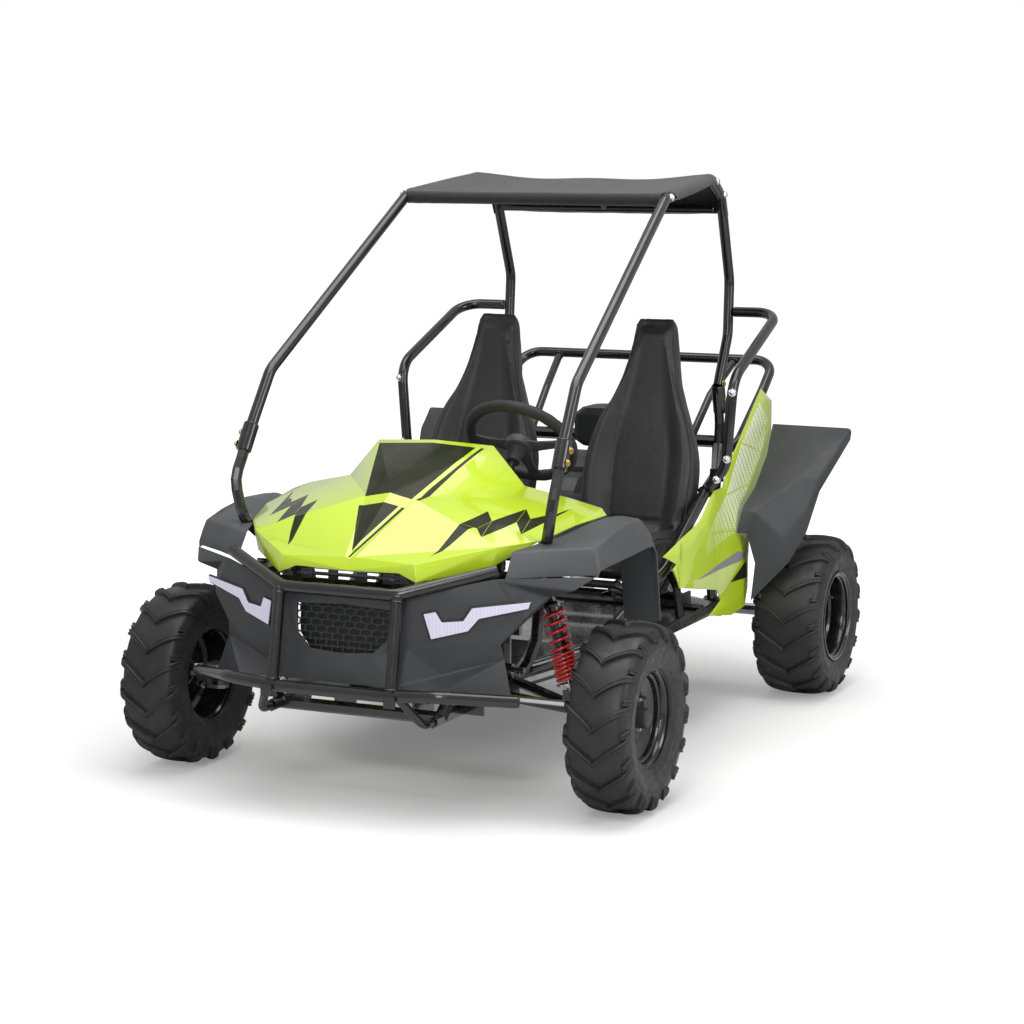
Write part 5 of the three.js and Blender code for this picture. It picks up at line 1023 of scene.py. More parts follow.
def lamps():
    for side, sign in SIDES.items():
        lens = flat_outline(Shape(), LAMP_OUTLINE, 5.2, 0.4, 1.3).on(sign)
        role = {"slot": "lamp_white", "instead_of": f"{side}_headlamp"}
        piece(f"{side}_lamp_lens", lens, "chassis", LENS, crease=30, **role)
        rim = Shape()
        line = rounded([Vector(p) + Vector((0.7, -2.2, 0.3)) for p in LAMP_OUTLINE], 3, 0.5, closed=True)
        swept(rim, line, circle(2.6, 8), closed=True)
        piece(f"{side}_lamp_rim", rim.on(sign), "chassis", BLACK_PLASTIC, slot="grey_plastic")


GRILLE_OUTLINE = [(-118, 450), (-114, 372), (-80, 333), (80, 333), (114, 372), (118, 450)]
GRILLE_ROWS, GRILLE_CELL = 9, 13
GRILLE_WIRE = 1.9 / MM  # metres
GRILLE_LIP = [(-5, -4), (5, -4), (5, 1), (3, 4), (-3, 4), (-5, 1)]


def grille_depth(z):
    """How far back the grille lies at a height, a little behind the nose's face."""
    return -257 - 13 * min(1, max(0, (450 - z) / 109)) + 8.5


def grille_reach(z):
    """Half the grille's width at a height, along its outline."""
    (top, high), (middle, waist), (foot, low) = GRILLE_OUTLINE[:2:-1]
    if z > waist:
        return middle + (top - middle) * (z - waist) / (high - waist)
    return foot + (middle - foot) * (z - low) / (waist - low)


def grille():
    points, edges = [], []
    cell, wall = GRILLE_CELL, 5

    def at(x, z):
        points.append(spot(x, grille_depth(z), z))
        return len(points) - 1

    rows = [338 + 13.4 * k for k in range(GRILLE_ROWS)]
    for r, z in enumerate(rows):
        reach = grille_reach(z) - wall
        stops = [-reach, *[x for x in range(-10 * cell, 10 * cell + 1, cell) if abs(x) < reach], reach]
        line = [at(x, z + (1.6 if (k + r) % 2 else -1.6)) for k, x in enumerate(stops)]
        edges += list(zip(line, line[1:]))
        if r + 1 < len(rows):
            for x in range(-10 * cell + cell * (r % 2), 10 * cell + 1, 2 * cell):
                if abs(x) < min(reach, grille_reach(rows[r + 1]) - wall):
                    edges.append((at(x, z), at(x, rows[r + 1])))
    mesh = bpy.data.meshes.new("grille_mesh")
    mesh.from_pydata(points, edges, [])
    thing = thing_of("grille_mesh", mesh, [BLACK_PLASTIC])
    BARS_ON_EDGES.run(thing, Radius=GRILLE_WIRE, Finish=BLACK_PLASTIC)
    placed(shaded(thing), "chassis", "grille")
    surround = Shape()
    loop = [(x, grille_depth(z), z) for x, z in GRILLE_OUTLINE]
    swept(surround, rounded(loop, 9, 0.3, closed=True), GRILLE_LIP, closed=True, up=(0, -1, 0))
    piece("grille_surround", surround, "chassis", DARK_PLASTIC, slot="grey_plastic")
    back = Shape()
    front = [Vector((x * 0.96, grille_depth(z) + 14, z)) for x, z in GRILLE_OUTLINE]
    grid(back, [front, [p + Vector((0, 3, 0)) for p in front]], closed=True)
    back.faces += [list(range(6)), list(range(11, 5, -1))]
    back.kinds += [0, 0]
    piece("grille_backing", back, "chassis", BLACK_PLASTIC, slot="grey_plastic")


FRONT_FENDER_ROWS = [
    [(318, -150, 500), (392, -96, 502), (470, -46, 503), (478, -40, 497)],
    [(316, -112, 552), (385, -72, 556), (468, -30, 558), (482, -38, 512)],
    [(362, 20, 566), (400, 30, 572), (470, 40, 574), (482, 40, 515)],
    [(384, 120, 582), (415, 130, 588), (470, 140, 588), (482, 140, 518)],
    [(400, 200, 588), (425, 215, 592), (468, 225, 585), (482, 225, 522)],
    [(392, 262, 570), (430, 272, 560), (468, 280, 548), (482, 268, 520)],
    [(390, 296, 500), (430, 300, 498), (466, 300, 496), (480, 292, 500)],
    [(386, 338, 342), (425, 338, 341), (462, 337, 341), (474, 334, 345)],
]
REAR_FENDER_ROWS = [
    [(408, 1012, 440), (424, 1040, 438), (440, 1060, 360), (430, 1062, 267)],
    [(412, 1040, 500), (445, 1042, 490), (500, 1092, 420), (512, 1105, 362)],
    [(412, 1130, 540), (480, 1120, 528), (540, 1150, 490), (541, 1150, 430)],
    [(408, 1230, 610), (513, 1180, 569), (556, 1190, 560), (559, 1195, 530)],
    [(396, 1290, 650), (550, 1262, 628), (582, 1268, 630), (584, 1270, 604)],
    [(385, 1340, 676), (588, 1336, 675), (594, 1340, 668), (590, 1344, 645)],
]


def fenders():
    kinds = (
        ("front", FRONT_FENDER_ROWS, LIGHT_PLASTIC, 7, (500, -300, 1500), 4),
        ("rear", REAR_FENDER_ROWS, DARK_PLASTIC, 5, (900, 400, 1500), 3),
    )
    for side, sign in SIDES.items():
        for end, rows, finish, soft, (x, y, z), segments in kinds:
            role = {"slot": "grey_plastic", "instead_of": f"{side}_{end}_fender"}
            shell, eye = grid(Shape(), rows).on(sign), (sign * x, y, z)
            panel(f"{side}_{end}_fender_shell", shell, PANEL_WALL, finish, soft, eye, segments, **role)


SIDE_PANEL_OUTLINE = [
    (402, 531, 452), (400, 644, 475), (398, 782, 500), (395, 883, 560), (392, 956, 560), (388, 1003, 606),
    (372, 1285, 769), (362, 1397, 730), (372, 1369, 615),
    (400, 1292, 460), (400, 1128, 444), (408, 1100, 295),
    (408, 1080, 248), (405, 990, 240), (402, 845, 262), (408, 906, 290), (412, 871, 322), (414, 611, 368),
    (414, 599, 382), (410, 574, 417), (408, 601, 425),
]


def side_panels():
    """Flat-cornered skins that are eased smooth inside their outlines and swell a little outward."""
    smoothings, swell, swell_reach = 60, 0.0035, 0.03  # metres
    count = len(SIDE_PANEL_OUTLINE)
    for side, sign in SIDES.items():
        mesh = bpy.data.meshes.new(f"{side}_side_skin")
        mesh.from_pydata([spot(*p) for p in SIDE_PANEL_OUTLINE], [], [list(range(count))])
        bm = bmesh.new()
        bm.from_mesh(mesh)
        bmesh.ops.triangulate(bm, faces=bm.faces, ngon_method="BEAUTY")
        for _ in range(3):
            bmesh.ops.subdivide_edges(bm, edges=bm.edges, cuts=1, use_grid_fill=True)
        edge = {v for e in bm.edges if e.is_boundary for v in e.verts}
        inner = [v for v in bm.verts if v not in edge]
        for _ in range(smoothings):
            moved = [sum(e.other_vert(v).co.x for e in v.link_edges) / len(v.link_edges) for v in inner]
            for v, x in zip(inner, moved):
                v.co.x = x
        for v in inner:
            near = min((v.co - w.co).length for w in edge)
            v.co.x += swell * min(1, near / swell_reach)
        for v in bm.verts:
            v.co.x *= sign
        bmesh.ops.recalc_face_normals(bm, faces=bm.faces)
        if sum(f.normal.x * f.calc_area() for f in bm.faces) * sign < 0:
            bmesh.ops.reverse_faces(bm, faces=bm.faces)
        bm.to_mesh(mesh)
        bm.free()
        modifiers = (("SOLIDIFY", {"thickness": SIDE_WALL / MM, "offset": -1.0}), edge_round(1.1, 3, 55))
        role = {"slot": "lime_gloss", "instead_of": f"{side}_side_panel"}
        piece(f"{side}_side_skin", mesh, "chassis", SIDE_PAINT, modifiers=modifiers, outward=False, **role)


tubes()
bumper()
front_panels()
lamps()
grille()
fenders()
side_panels()


# Wheels

# Half a tyre's outer line: shares of its half width and of the way from bead to crown
TYRE_SHARES = [
    (0.8, 0.0), (0.87, 0.05), (0.95, 0.24), (1.0, 0.48),
    (0.98, 0.68), (0.92, 0.83), (0.83, 0.92), (0.66, 0.965),
    (0.34, 0.992), (0.0, 1.0),
]
BEAD = 102.5
TYRE_RADIUS = 203
FRONT_WIDTH, REAR_WIDTH = 136, 172
LUG_HEIGHT, LUG_ROOT, LUGS = 9.5, -3, 17
SIPE_TOP, SIPE_FOOT, SIPE_DEPTH = 2.2, 1.3, 1.6  # the groove along each lug
RIDGES = ((118, 121), (150, 152.5))  # radii between which a sidewall's ridges stand
FRONT_HUB, REAR_HUB = (530, 0, TYRE_RADIUS), (504, 1283, TYRE_RADIUS)


class Section:
    """The outer line of half a tyre, from the middle of its tread to its bead."""

    def __init__(self, width):
        half, crown = width / 2, TYRE_RADIUS - LUG_HEIGHT
        corners = [(a * half, BEAD + up * (crown - BEAD), 0) for a, up in TYRE_SHARES][::-1]
        self.line = curved(corners, 8)
        self.lengths = [0]
        for a, b in zip(self.line, self.line[1:]):
            self.lengths.append(self.lengths[-1] + (b - a).length)

    def at(self, length):
        """(across, radius) and the outward direction at a length along the line."""
        length = min(max(length, 0), self.lengths[-1] - 0.01)
        k = next(i for i, far in enumerate(self.lengths) if far > length) - 1
        share = (length - self.lengths[k]) / (self.lengths[k + 1] - self.lengths[k])
        a, b = self.line[k], self.line[k + 1]
        run = (b - a).normalized()
        return a.lerp(b, share), Vector((-run.y, run.x, 0))


def lug_grid(section, path, widths, heights, inset):
    """A tread block that follows a path of (length across, length round) points, its sides drafted."""
    rows = []
    for (across, along), width, height in zip(path, widths, heights):
        base, away = section.at(abs(across))
        away = away if away.y > 0 or abs(away.x) > 0.5 else -away
        half = width / 2
        low = height - SIPE_DEPTH
        rise = [(-half, LUG_ROOT), (-half + inset * 0.5, height * 0.82), (-half + inset, height)]
        groove = [(-SIPE_TOP, height), (-SIPE_FOOT, low), (SIPE_FOOT, low), (SIPE_TOP, height)]
        row = []
        for offset, lift in [*rise, *groove, *[(-a, b) for a, b in reversed(rise)]]:
            place = base + away * lift
            turn = (along + offset) / (TYRE_RADIUS - LUG_HEIGHT)
            x = math.copysign(place.x, across) if across else 0
            row.append((x, -place.y * math.cos(turn), place.y * math.sin(turn)))
        rows.append(row)
    return rows


def tread_lugs(section):
    """One V of the tread and its two shoulder blocks, about the axle."""
    shape = Shape()
    reach = section.lengths[-1] * 0.56
    count, block_count = 20, 8
    path, widths, heights = [], [], []
    for k in range(-count, count + 1):
        share = abs(k) / count
        path.append((k / count * reach, 8 + 58 * share**0.82))
        widths.append(14 + 8 * share**2)
        heights.append(LUG_HEIGHT * (1 - 0.35 * share**3) if abs(k) < count else LUG_ROOT)
    grid(shape, lug_grid(section, path, widths, heights, 3.6))
    for sign in SIDES.values():
        path, widths, heights = [], [], []
        for k in range(block_count + 1):
            share = k / block_count
            path.append((sign * reach * (0.66 + 0.42 * share), 70 + 12 * share))
            widths.append(13 + 5 * math.sin(math.pi * share))
            heights.append(LUG_HEIGHT * (0.85 - 0.45 * share) if 0 < k < block_count else LUG_ROOT)
        grid(shape, lug_grid(section, path, widths, heights, 3.0))
    return shape


def tyre(name, centre, width, body, node):
    section = Section(width)
    thing = thing_of(name, small_mesh("tread_lugs", tread_lugs(section), lifted_out), [RUBBER])
    ROUND_AN_AXLE.run(thing, Count=LUGS, Finish=RUBBER)
    bm = bmesh.new()
    bm.from_mesh(thing.data)
    bm.transform(Matrix.Translation(spot(*centre)))
    outer = [(p.x, p.y) for p in section.line]
    profile = [(-a, r) for a, r in outer[::-1]] + outer[1:]
    ribbed = []
    for a, r in profile:
        lift = 0.9 if any(low < r < high for low, high in RIDGES) else 0
        ribbed.append((a + math.copysign(lift, a), r))
    half = width / 2
    inside = [(0.74 * half, BEAD), (0.78 * half, BEAD + 22), (0.9 * half, 150), (0.7 * half, 178), (0, 182)]
    inside += [(-a, r) for a, r in inside[-2::-1]]
    shape = Shape()
    turned(shape, ribbed + inside + ribbed[:1], centre, steps=112)
    carcass = shape.mesh(name + "_carcass")
    bm.from_mesh(carcass)
    bm.to_mesh(thing.data)
    bm.free()
    bpy.data.meshes.remove(carcass)
    return placed(shaded(thing, 32), body, node)


def small_mesh(name, shape, last_step=None):
    """The shape as a mesh about the origin."""
    mesh = bpy.data.meshes.new(name)
    mesh.from_pydata([p / MM for p in shape.points], [], shape.faces)
    bm = bmesh.new()
    bm.from_mesh(mesh)
    bmesh.ops.remove_doubles(bm, verts=bm.verts, dist=MERGE)
    bmesh.ops.recalc_face_normals(bm, faces=bm.faces)
    if last_step:
        last_step(bm)
    bm.to_mesh(mesh)
    bm.free()
    return mesh


def lifted_out(bm):
    """Turns the lugs, which are open below, so that their tops face away from the axle."""
    high = max(bm.faces, key=lambda f: f.calc_center_median().yz.length)
    if high.normal.yz.dot(high.calc_center_median().yz) < 0:
        bmesh.ops.reverse_faces(bm, faces=bm.faces)


# A wheel's face from its rim to its middle: (outward, radius) pairs
FRONT_DISH = [
    (57, 113), (59, 112), (59.2, 109.5), (56, 106.5), (51, 104),
    (47, 98), (43, 95.5), (36, 94), (33, 90), (24, 88),
    (21, 84), (19, 72), (15, 66), (13, 58), (13, 30), (15, 27), (15, 0),
]
REAR_DISH = [
    (80, 113), (82, 112), (82.2, 109.5), (79, 106.5), (73, 104),
    (68, 98), (60, 95.5), (34, 94), (28, 90), (-14, 88),
    (-20, 84), (-23, 72), (-27, 66), (-29, 58), (-29, 36), (-25, 32), (-25, 0),
]


def rim(name, centre, dish, sign, body, node, spindle):
    half = dish[0][0]
    wall = 4.5
    back = [(a - wall, r) for a, r in dish[:8:-1] if r < 92]
    inboard = [
        (back[-1][0] - 6, 97), (-half + 14, 98), (-half + 5, 105),
        (-half - 1.5, 109.5), (-half - 2, 112), (-half, 113),
    ]
    seat = [(-half + 4, 101.2), (half - 4, 101.2)]
    shape = Shape()
    turned(shape, dish + back + inboard + seat + dish[:1], centre, steps=96)
    if spindle:
        cap = [(13, 26), (16, 26), (18, 23), (40, 22), (46, 19.5), (49.5, 14), (51, 7), (51.3, 0)]
        turned(shape, cap, centre, kind=1, steps=40)
    else:
        nut = [(-26, 15), (-8, 15), (-6, 13), (-6, 7), (4, 7), (5, 5), (5, 0)]
        turned(shape, nut, centre, kind=2, steps=6)
        turned(shape, [(-25, 24), (-21, 24), (-19, 22), (-19, 0)], centre, kind=1, steps=40)
    valve = Vector(centre) + Vector((dish[5][0] - 6, 0, 0))
    line = [valve + Vector((out, -away, away)) for out, away in ((0, 62), (14, 58), (24, 56))]
    bar(shape, line, 3.6, kind=3, sides=12)
    if sign < 0:
        for p in shape.points:
            p.x = 2 * centre[0] - p.x
    finishes = BLACK, DARK_PLASTIC, ZINC, BLACK_PLASTIC
    piece(name, shape, body, *finishes, slot="gloss_black", instead_of=node, crease=30)


def marks_mesh(name, marks):
    """Points that each hold the direction in which their copy stands."""
    mesh = bpy.data.meshes.new(name)
    mesh.from_pydata([spot(*p) for p, _ in marks], [], [])
    stands = mesh.attributes.new("stands", "FLOAT_VECTOR", "POINT")
    for item, (_, way) in zip(stands.data, marks):
        item.vector = Vector(way).normalized()
    return mesh


ORIGIN, UP = (0, 0, 0), (0, 0, 1)
PATTERNS = []


def pattern(name, shape, finish):
    """A small shape about the origin for rules to copy, taken away before the end."""
    thing = thing_of(name, small_mesh(name, shape), [finish])
    PATTERNS.append(thing)
    return shaded(thing, 30)


def hex_head(across_flats, tall, washer):
    """A bolt head with a chamfered top, on a washer."""
    shape = Shape()
    ring = [(0, 0), (0, washer), (0.8, washer + 0.4), (1.6, washer), (1.6, 0)]
    turned(shape, ring, ORIGIN, UP, steps=20)
    radius = across_flats / math.sqrt(3)
    top = [(tall - 0.8, radius), (tall, radius * 0.86), (tall, radius * 0.4), (tall - 0.5, 0)]
    return turned(shape, [(1.4, 0), (1.4, radius), *top], ORIGIN, UP, steps=6)


def dome_head(radius, tall):
    """A domed nut with a flange."""
    flange, foot, steps = radius * 1.25, 2, 6
    profile = [(0, 0), (0, flange), (1.6, flange), (foot, radius)]
    for k in range(steps + 1):
        turn = math.pi / 2 * k / steps
        profile.append((foot + tall * math.sin(turn), radius * math.cos(turn)))
    return turned(Shape(), profile, ORIGIN, UP, steps=24)


HEX_HEAD = pattern("hex_head_pattern", hex_head(11, 6, 8), STEEL)
DOME_HEAD = pattern("dome_head_pattern", dome_head(7.5, 6), CHROME)


def heads(name, marks, body, copied, finish):
    """Bolt heads on (place, direction) marks."""
    thing = thing_of(name, marks_mesh(name, marks), [finish])
    ON_MARKS.run(thing, Copied=copied, Finish=finish)
    return placed(shaded(thing, 30), body)


def wheels():
    nut_circle, nut_count = 46, 4
    for side, sign in SIDES.items():
        ends = [
            ("front", FRONT_HUB, FRONT_WIDTH, FRONT_DISH, f"{side}_front_wheel"),
            ("rear", REAR_HUB, REAR_WIDTH, REAR_DISH, "rear_axle"),
        ]
        for end, (x, y, z), width, _, body in ends:
            tyre(f"{side}_{end}_tread", (sign * x, y, z), width, body, f"{side}_{end}_tyre")
        for end, (x, y, z), _, dish, body in ends:
            centre = sign * x, y, z
            rim(f"{side}_{end}_dish", centre, dish, sign, body, f"{side}_{end}_rim", end == "front")
        for end, (x, y, z), _, dish, body in ends:
            face = next(a for a, r in dish if r < nut_circle + 13)
            marks = []
            for k in range(nut_count):
                turn = math.pi * (0.25 + 2 * k / nut_count)
                place = sign * (x + face), y + nut_circle * math.cos(turn), z + nut_circle * math.sin(turn)
                marks.append((place, (sign, 0, 0)))
            heads(f"{side}_{end}_wheel_nuts", marks, body, HEX_HEAD, STEEL)


# Dampers, springs and steering


def coil_line(low, high, radius, turns_open, turns_close, gap_close, steps=20):
    """A coil wound open at its top and close at its foot."""
    low, high = Vector(low), Vector(high)
    axis = (high - low).normalized()
    side = axis.orthogonal().normalized()
    top = axis.cross(side)
    length = (high - low).length
    close = turns_close * gap_close
    total = turns_open + turns_close
    line = []
    for k in range(int(total * steps) + 1):
        turn = k / steps
        if turn <= turns_close:
            along = gap_close * turn
        else:
            share = (turn - turns_close) / turns_open
            along = close + (length - close) * share
        angle = 2 * math.pi * turn
        line.append(low + axis * along + (side * math.cos(angle) + top * math.sin(angle)) * radius)
    return line


FOOT_BORE, TOP_BORE = 9.2, 6  # the foot's wide bore leaves room for the arm's swing
FOOT_SEAT, TOP_SEAT = 33, 36  # from each eye to the coil's end


def eye_ring(bore, half=9, radius=14):
    """A damper's eye about its pin, with its edges chamfered."""
    cut = [(-half, radius - 1), (1 - half, radius), (half - 1, radius), (half, radius - 1)]
    return [(-half, bore), *cut, (half, bore), (-half, bore)]


def coil_over(name, low, high, eye_axis, radius, wire, turns):
    """A damper's halves, which ride on bodies of their own, and the coil that runs between them."""
    rod_name = f"{name}_rod"
    low, high, eye = Vector(low), Vector(high), Vector(eye_axis)
    way = (high - low).normalized()
    length = (high - low).length
    rod, seat = 6, radius + wire * 0.6
    foot = Shape()
    turned(foot, eye_ring(FOOT_BORE), low, eye, kind=1, steps=32)
    profile = [
        (12, 0), (12, 8), (22, 8), (24, radius + 1), (25, seat), (29, seat), (30, radius - 3),
        (30, rod), (length * 0.62, rod), (length * 0.62, 0),
    ]
    turned(foot, profile, low, way, kind=1, steps=32)
    finishes = BLACK, STEEL
    role = {"slot": "bright_steel", "instead_of": rod_name, "crease": 30}
    piece(f"{name}_lower_half", foot, rod_name, *finishes, **role)
    body = Shape()
    turned(body, eye_ring(TOP_BORE), high, -eye, steps=32)
    mouth, top = length * 0.42, length
    profile = [
        (mouth, 6.8), (mouth, 12), (mouth + 2, 13.5), (top - 46, 13.5), (top - 44, 15), (top - 34, 15),
        (top - 33, seat), (top - 28, seat), (top - 26, radius - 4),
        (top - 22, 12), (top - 9, 10), (top - 9, 0),
    ]
    turned(body, profile, low, way, steps=32)
    role = {"slot": "gloss_black", "instead_of": name, "crease": 30}
    piece(f"{name}_upper_half", body, name, *finishes, **role)
    start, end = high - way * TOP_SEAT, low + way * FOOT_SEAT
    coil = swept(Shape(), coil_line(end, start, radius, *turns), circle(wire / 2, 12))
    thing = thing_of(f"{name}_coil", coil.mesh(f"{name}_coil"), [RED])
    shaded(thing)
    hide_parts(name.replace("damper", "spring"))
    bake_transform(thing)


def suspension():
    """Each coil's turns are given as turns above, close turns at its foot and their gap."""
    for side, sign in SIDES.items():
        foot, top = (sign * 404, 0, 235), (sign * 350, 0, 455)
        coil_over(f"{side}_front_damper", foot, top, (0, 1, 0), 23, 7, (5.2, 7.2, 8.6))
    coil_over("rear_damper", (0, 1320, 350), (0, 1245, 600), (1, 0, 0), 27, 9, (5.0, 5.5, 10.6))


STEERING_CENTRE, STEERING_AXIS = (170, 255, 735), (0, 0.722, 0.692)
STEERING_JOINT = (170, 89, 576)  # where the upper shaft meets the lower one
STEERING_RADIUS, GRIP_RADIUS, SHAFT_RADIUS = 118, 12.6, 8
SPOKE_RING = [(-1, -0.4), (-0.85, -1), (0.85, -1), (1, -0.4), (1, 0.4), (0.85, 1), (-0.85, 1), (-1, 0.4)]
SPOKE_STATIONS = [(20, 21, 14), (45, 15, 11), (80, 12, 5), (112, 15, 0)]  # reach, half width, drop


def steering_wheel():
    """The rim with its finger swells, three spokes, the hub and the upper shaft."""
    centre, axis = Vector(STEERING_CENTRE), Vector(STEERING_AXIS).normalized()
    side = Vector((1, 0, 0))
    down = axis.cross(side)
    if down.z > 0:
        down = -down
    shape = Shape()
    steps, swells, spoke_thick = 96, 24, 3.2
    ring = []
    for k in range(steps):
        t = 2 * math.pi * k / steps
        ring.append(centre + (side * math.cos(t) + down * math.sin(t)) * STEERING_RADIUS)
    sizes = [1 + 0.035 * math.sin(swells * 2 * math.pi * k / steps) for k in range(steps)]
    swept(shape, ring, circle(GRIP_RADIUS, 20), closed=True, up=tuple(axis), sizes=sizes)
    for way in (side, -side, down):
        across = axis.cross(way)
        rows = []
        for reach, width, drop in SPOKE_STATIONS:
            middle = centre + way * reach - axis * drop
            rows.append([middle + across * a * width + axis * b * spoke_thick for a, b in SPOKE_RING])
        grid(shape, rows, 1, closed=True)
    hub = [(-26, 0), (-26, 22), (-22, 30), (-8, 32), (-3, 29), (-1, 20), (-1, 0)]
    turned(shape, hub, centre, axis, kind=1, steps=48)
    turned(shape, [(-1.5, 0), (-1.5, 15), (2.5, 15), (4, 12), (4.4, 0)], centre, axis, kind=2, steps=36)
    foot = Vector(STEERING_JOINT) + axis * 16
    bar(shape, [foot, centre - axis * 60, centre - axis * 24], SHAFT_RADIUS, 3)
    collar = [(-62, SHAFT_RADIUS), (-60, 15), (-40, 15), (-30, 21), (-26, 21)]
    turned(shape, collar, centre, axis, steps=32)
    finishes = GRIP, DARK_PLASTIC, BLACK_PLASTIC, BLACK
    role = {"slot": "wheel_grip", "instead_of": "steering_wheel"}
    piece("steering_wheel_grip", shape, "steering_wheel", *finishes, crease=40, **role)


wheels()
suspension()
steering_wheel()


# Seats

# From the front of the cushion to the top of the back: how far back, how high, and shares of the
# half width, the side bolsters' height and the depth
SEAT_STATIONS = [
    (498, 412, 0.86, 0.1, 0.35), (508, 440, 0.92, 0.25, 0.7), (545, 452, 0.95, 0.5, 1.02),
    (640, 442, 0.95, 0.9, 0.9), (740, 428, 0.95, 1.0, 0.7), (800, 426, 0.95, 1.05, 0.75),
    (840, 462, 0.97, 1.1, 0.85), (862, 540, 1.0, 1.1, 0.9), (884, 630, 1.0, 1.0, 0.9),
    (904, 715, 0.85, 0.85, 0.85), (918, 775, 0.71, 0.6, 0.8), (930, 830, 0.58, 0.42, 0.8),
    (944, 905, 0.45, 0.3, 0.75), (955, 958, 0.37, 0.2, 0.6), (962, 972, 0.29, 0.1, 0.35),
]
# Half of the seat's section: shares of the half width, and of the bolster above 0 or the depth below 0
SEAT_RING = [
    (0.0, 0.26), (0.22, 0.255), (0.42, 0.23), (0.54, 0.3),
    (0.66, 0.6), (0.76, 0.87), (0.85, 0.98), (0.92, 0.9),
    (0.965, 0.6), (0.98, 0.15), (0.965, -0.35), (0.92, -0.72),
    (0.82, -0.95), (0.6, -1.0), (0.3, -1.0), (0.0, -1.0),
]
SEAT = {"x": 212, "half": 150, "bolster": 52, "depth": 58, "shrink": 5}
WELT_SHARES, GROOVE_SHARES = (0.955, 0.74), (0.5, 0.2)  # where piping and grooves run on the section
CROSS_STATION = 31  # of the fine stations: where cushion and back meet
# A channel's depth and its width, in metres
GROOVE, WELT_TUCK, CROSS_GROOVE = (0.0042, 0.0075), (0.0016, 0.004), (0.003, 0.007)
VOXEL, MOST_SWELL = 0.006, 0.011  # metres
STUFFING = {
    "quality": 6,
    "mass": 0.3,
    "use_pressure": True,
    "uniform_pressure_force": 4.0,
    "tension_stiffness": 12,
    "compression_stiffness": 12,
    "shear_stiffness": 6,
    "bending_stiffness": 0.8,
}


def fine_stations(steps=5):
    """The seat's stations made finer: (y, z, width, bolster, depth) along a smooth line."""
    path = curved([(y, z, 0) for y, z, *_ in SEAT_STATIONS], steps)
    sizes = curved([(w, b, d) for _, _, w, b, d in SEAT_STATIONS], steps)
    return list(zip(path, sizes))


def seat_point(stations, k, across, height, shrink=0.0):
    """A point of the seat's surface at a station, on the left seat."""
    place, (width, bolster, depth) = stations[k]
    before, after = stations[max(k - 1, 0)][0], stations[min(k + 1, len(stations) - 1)][0]
    ahead = (after - before).normalized()
    lift = height * (SEAT["bolster"] * bolster if height > 0 else SEAT["depth"] * depth)
    lift -= shrink if height > 0 else -shrink
    reach = across * (SEAT["half"] * width - shrink)
    return Vector((SEAT["x"] + reach, place.x - ahead.y * lift, place.y + ahead.x * lift))


def smoothed(thing, factor, iterations):
    even = ("SMOOTH", {"factor": factor, "iterations": iterations})
    return with_modifiers(thing, even, ("SUBSURF", {"levels": 1, "render_levels": 1}))


def inflated(thing, voxel, cap, frames=20):
    """Fills a closed form like a stuffed cover, each point moving no further than the cap."""
    remesh = thing.modifiers.new("remesh", "REMESH")
    remesh.mode, remesh.voxel_size = "VOXEL", voxel
    applied(thing)
    start = [v.co.copy() for v in thing.data.vertices]
    cloth = thing.modifiers.new("cloth", "CLOTH")
    for key, value in STUFFING.items():
        setattr(cloth.settings, key, value)
    cloth.settings.effector_weights.gravity = 0
    cloth.point_cache.frame_start, cloth.point_cache.frame_end = 1, frames
    for number in range(1, frames + 1):
        bpy.context.scene.frame_set(number)
    applied(thing)
    bpy.context.scene.frame_set(1)
    for vertex, was in zip(thing.data.vertices, start):
        step = vertex.co - was
        if step.length > cap:
            vertex.co = was + step.normalized() * cap
    return smoothed(thing, 0.5, 3)


def seat_cover():
    """The left seat's padded cover, inflated and then drawn in at its sewn channels."""
    stations = fine_stations()
    half = curved([(a, h, 0) for a, h in SEAT_RING], 3)
    ring = [(p.x, p.y) for p in half] + [(-p.x, p.y) for p in half[-2:0:-1]]
    shape = Shape()
    rows = [[seat_point(stations, k, a, h, SEAT["shrink"]) for a, h in ring] for k in range(len(stations))]
    grid(shape, rows, closed=True)
    width = len(ring)
    shape.faces += [list(range(width))[::-1], list(range((len(rows) - 1) * width, len(rows) * width))]
    shape.kinds += [0, 0]
    thing = thing_of("seat_cover", shape.mesh("seat_cover"), [VINYL])
    inflated(thing, VOXEL, MOST_SWELL)
    channels = []
    for side in SIDES.values():
        channels.append((seat_line(stations, GROOVE_SHARES, side, range(8, 47)), *GROOVE))
        channels.append((seat_line(stations, WELT_SHARES, side, range(4, 68)), *WELT_TUCK))
    across = [seat_point(stations, CROSS_STATION, -0.5 + a / 20, 0.24) for a in range(21)]
    channels.append((across, *CROSS_GROOVE))
    draw_in(thing.data, channels)
    return thing, stations


def seat_line(stations, shares, side, numbers):
    """A line along the seat at shares of its section, from one fine station to another."""
    across, height = shares
    return [seat_point(stations, k, side * across, height) for k in numbers]


def draw_in(mesh, channels, reach=0.03, flat=0.006):
    """Draws the cover in along sewn channels, which fade out at their ends."""
    places = [v.co.copy() for v in mesh.vertices]
    normals = [v.normal.copy() for v in mesh.vertices]
    for line, deep, wide in channels:
        fine = curved(line, 4)
        tree = KDTree(len(fine))
        for k, p in enumerate(fine):
            tree.insert(spot(*p), k)
        tree.balance()
        count = len(fine)
        for i, (place, normal) in enumerate(zip(places, normals)):
            _, k, far = tree.find(place)
            if far < reach:
                fade = min(1, min(k, count - 1 - k) / (0.12 * count))
                near = max(0, far - flat)
                places[i] = place - normal * deep * fade * math.exp(-((near / wide) ** 2))
    mesh.vertices.foreach_set("co", [c for p in places for c in p])
    mesh.update()


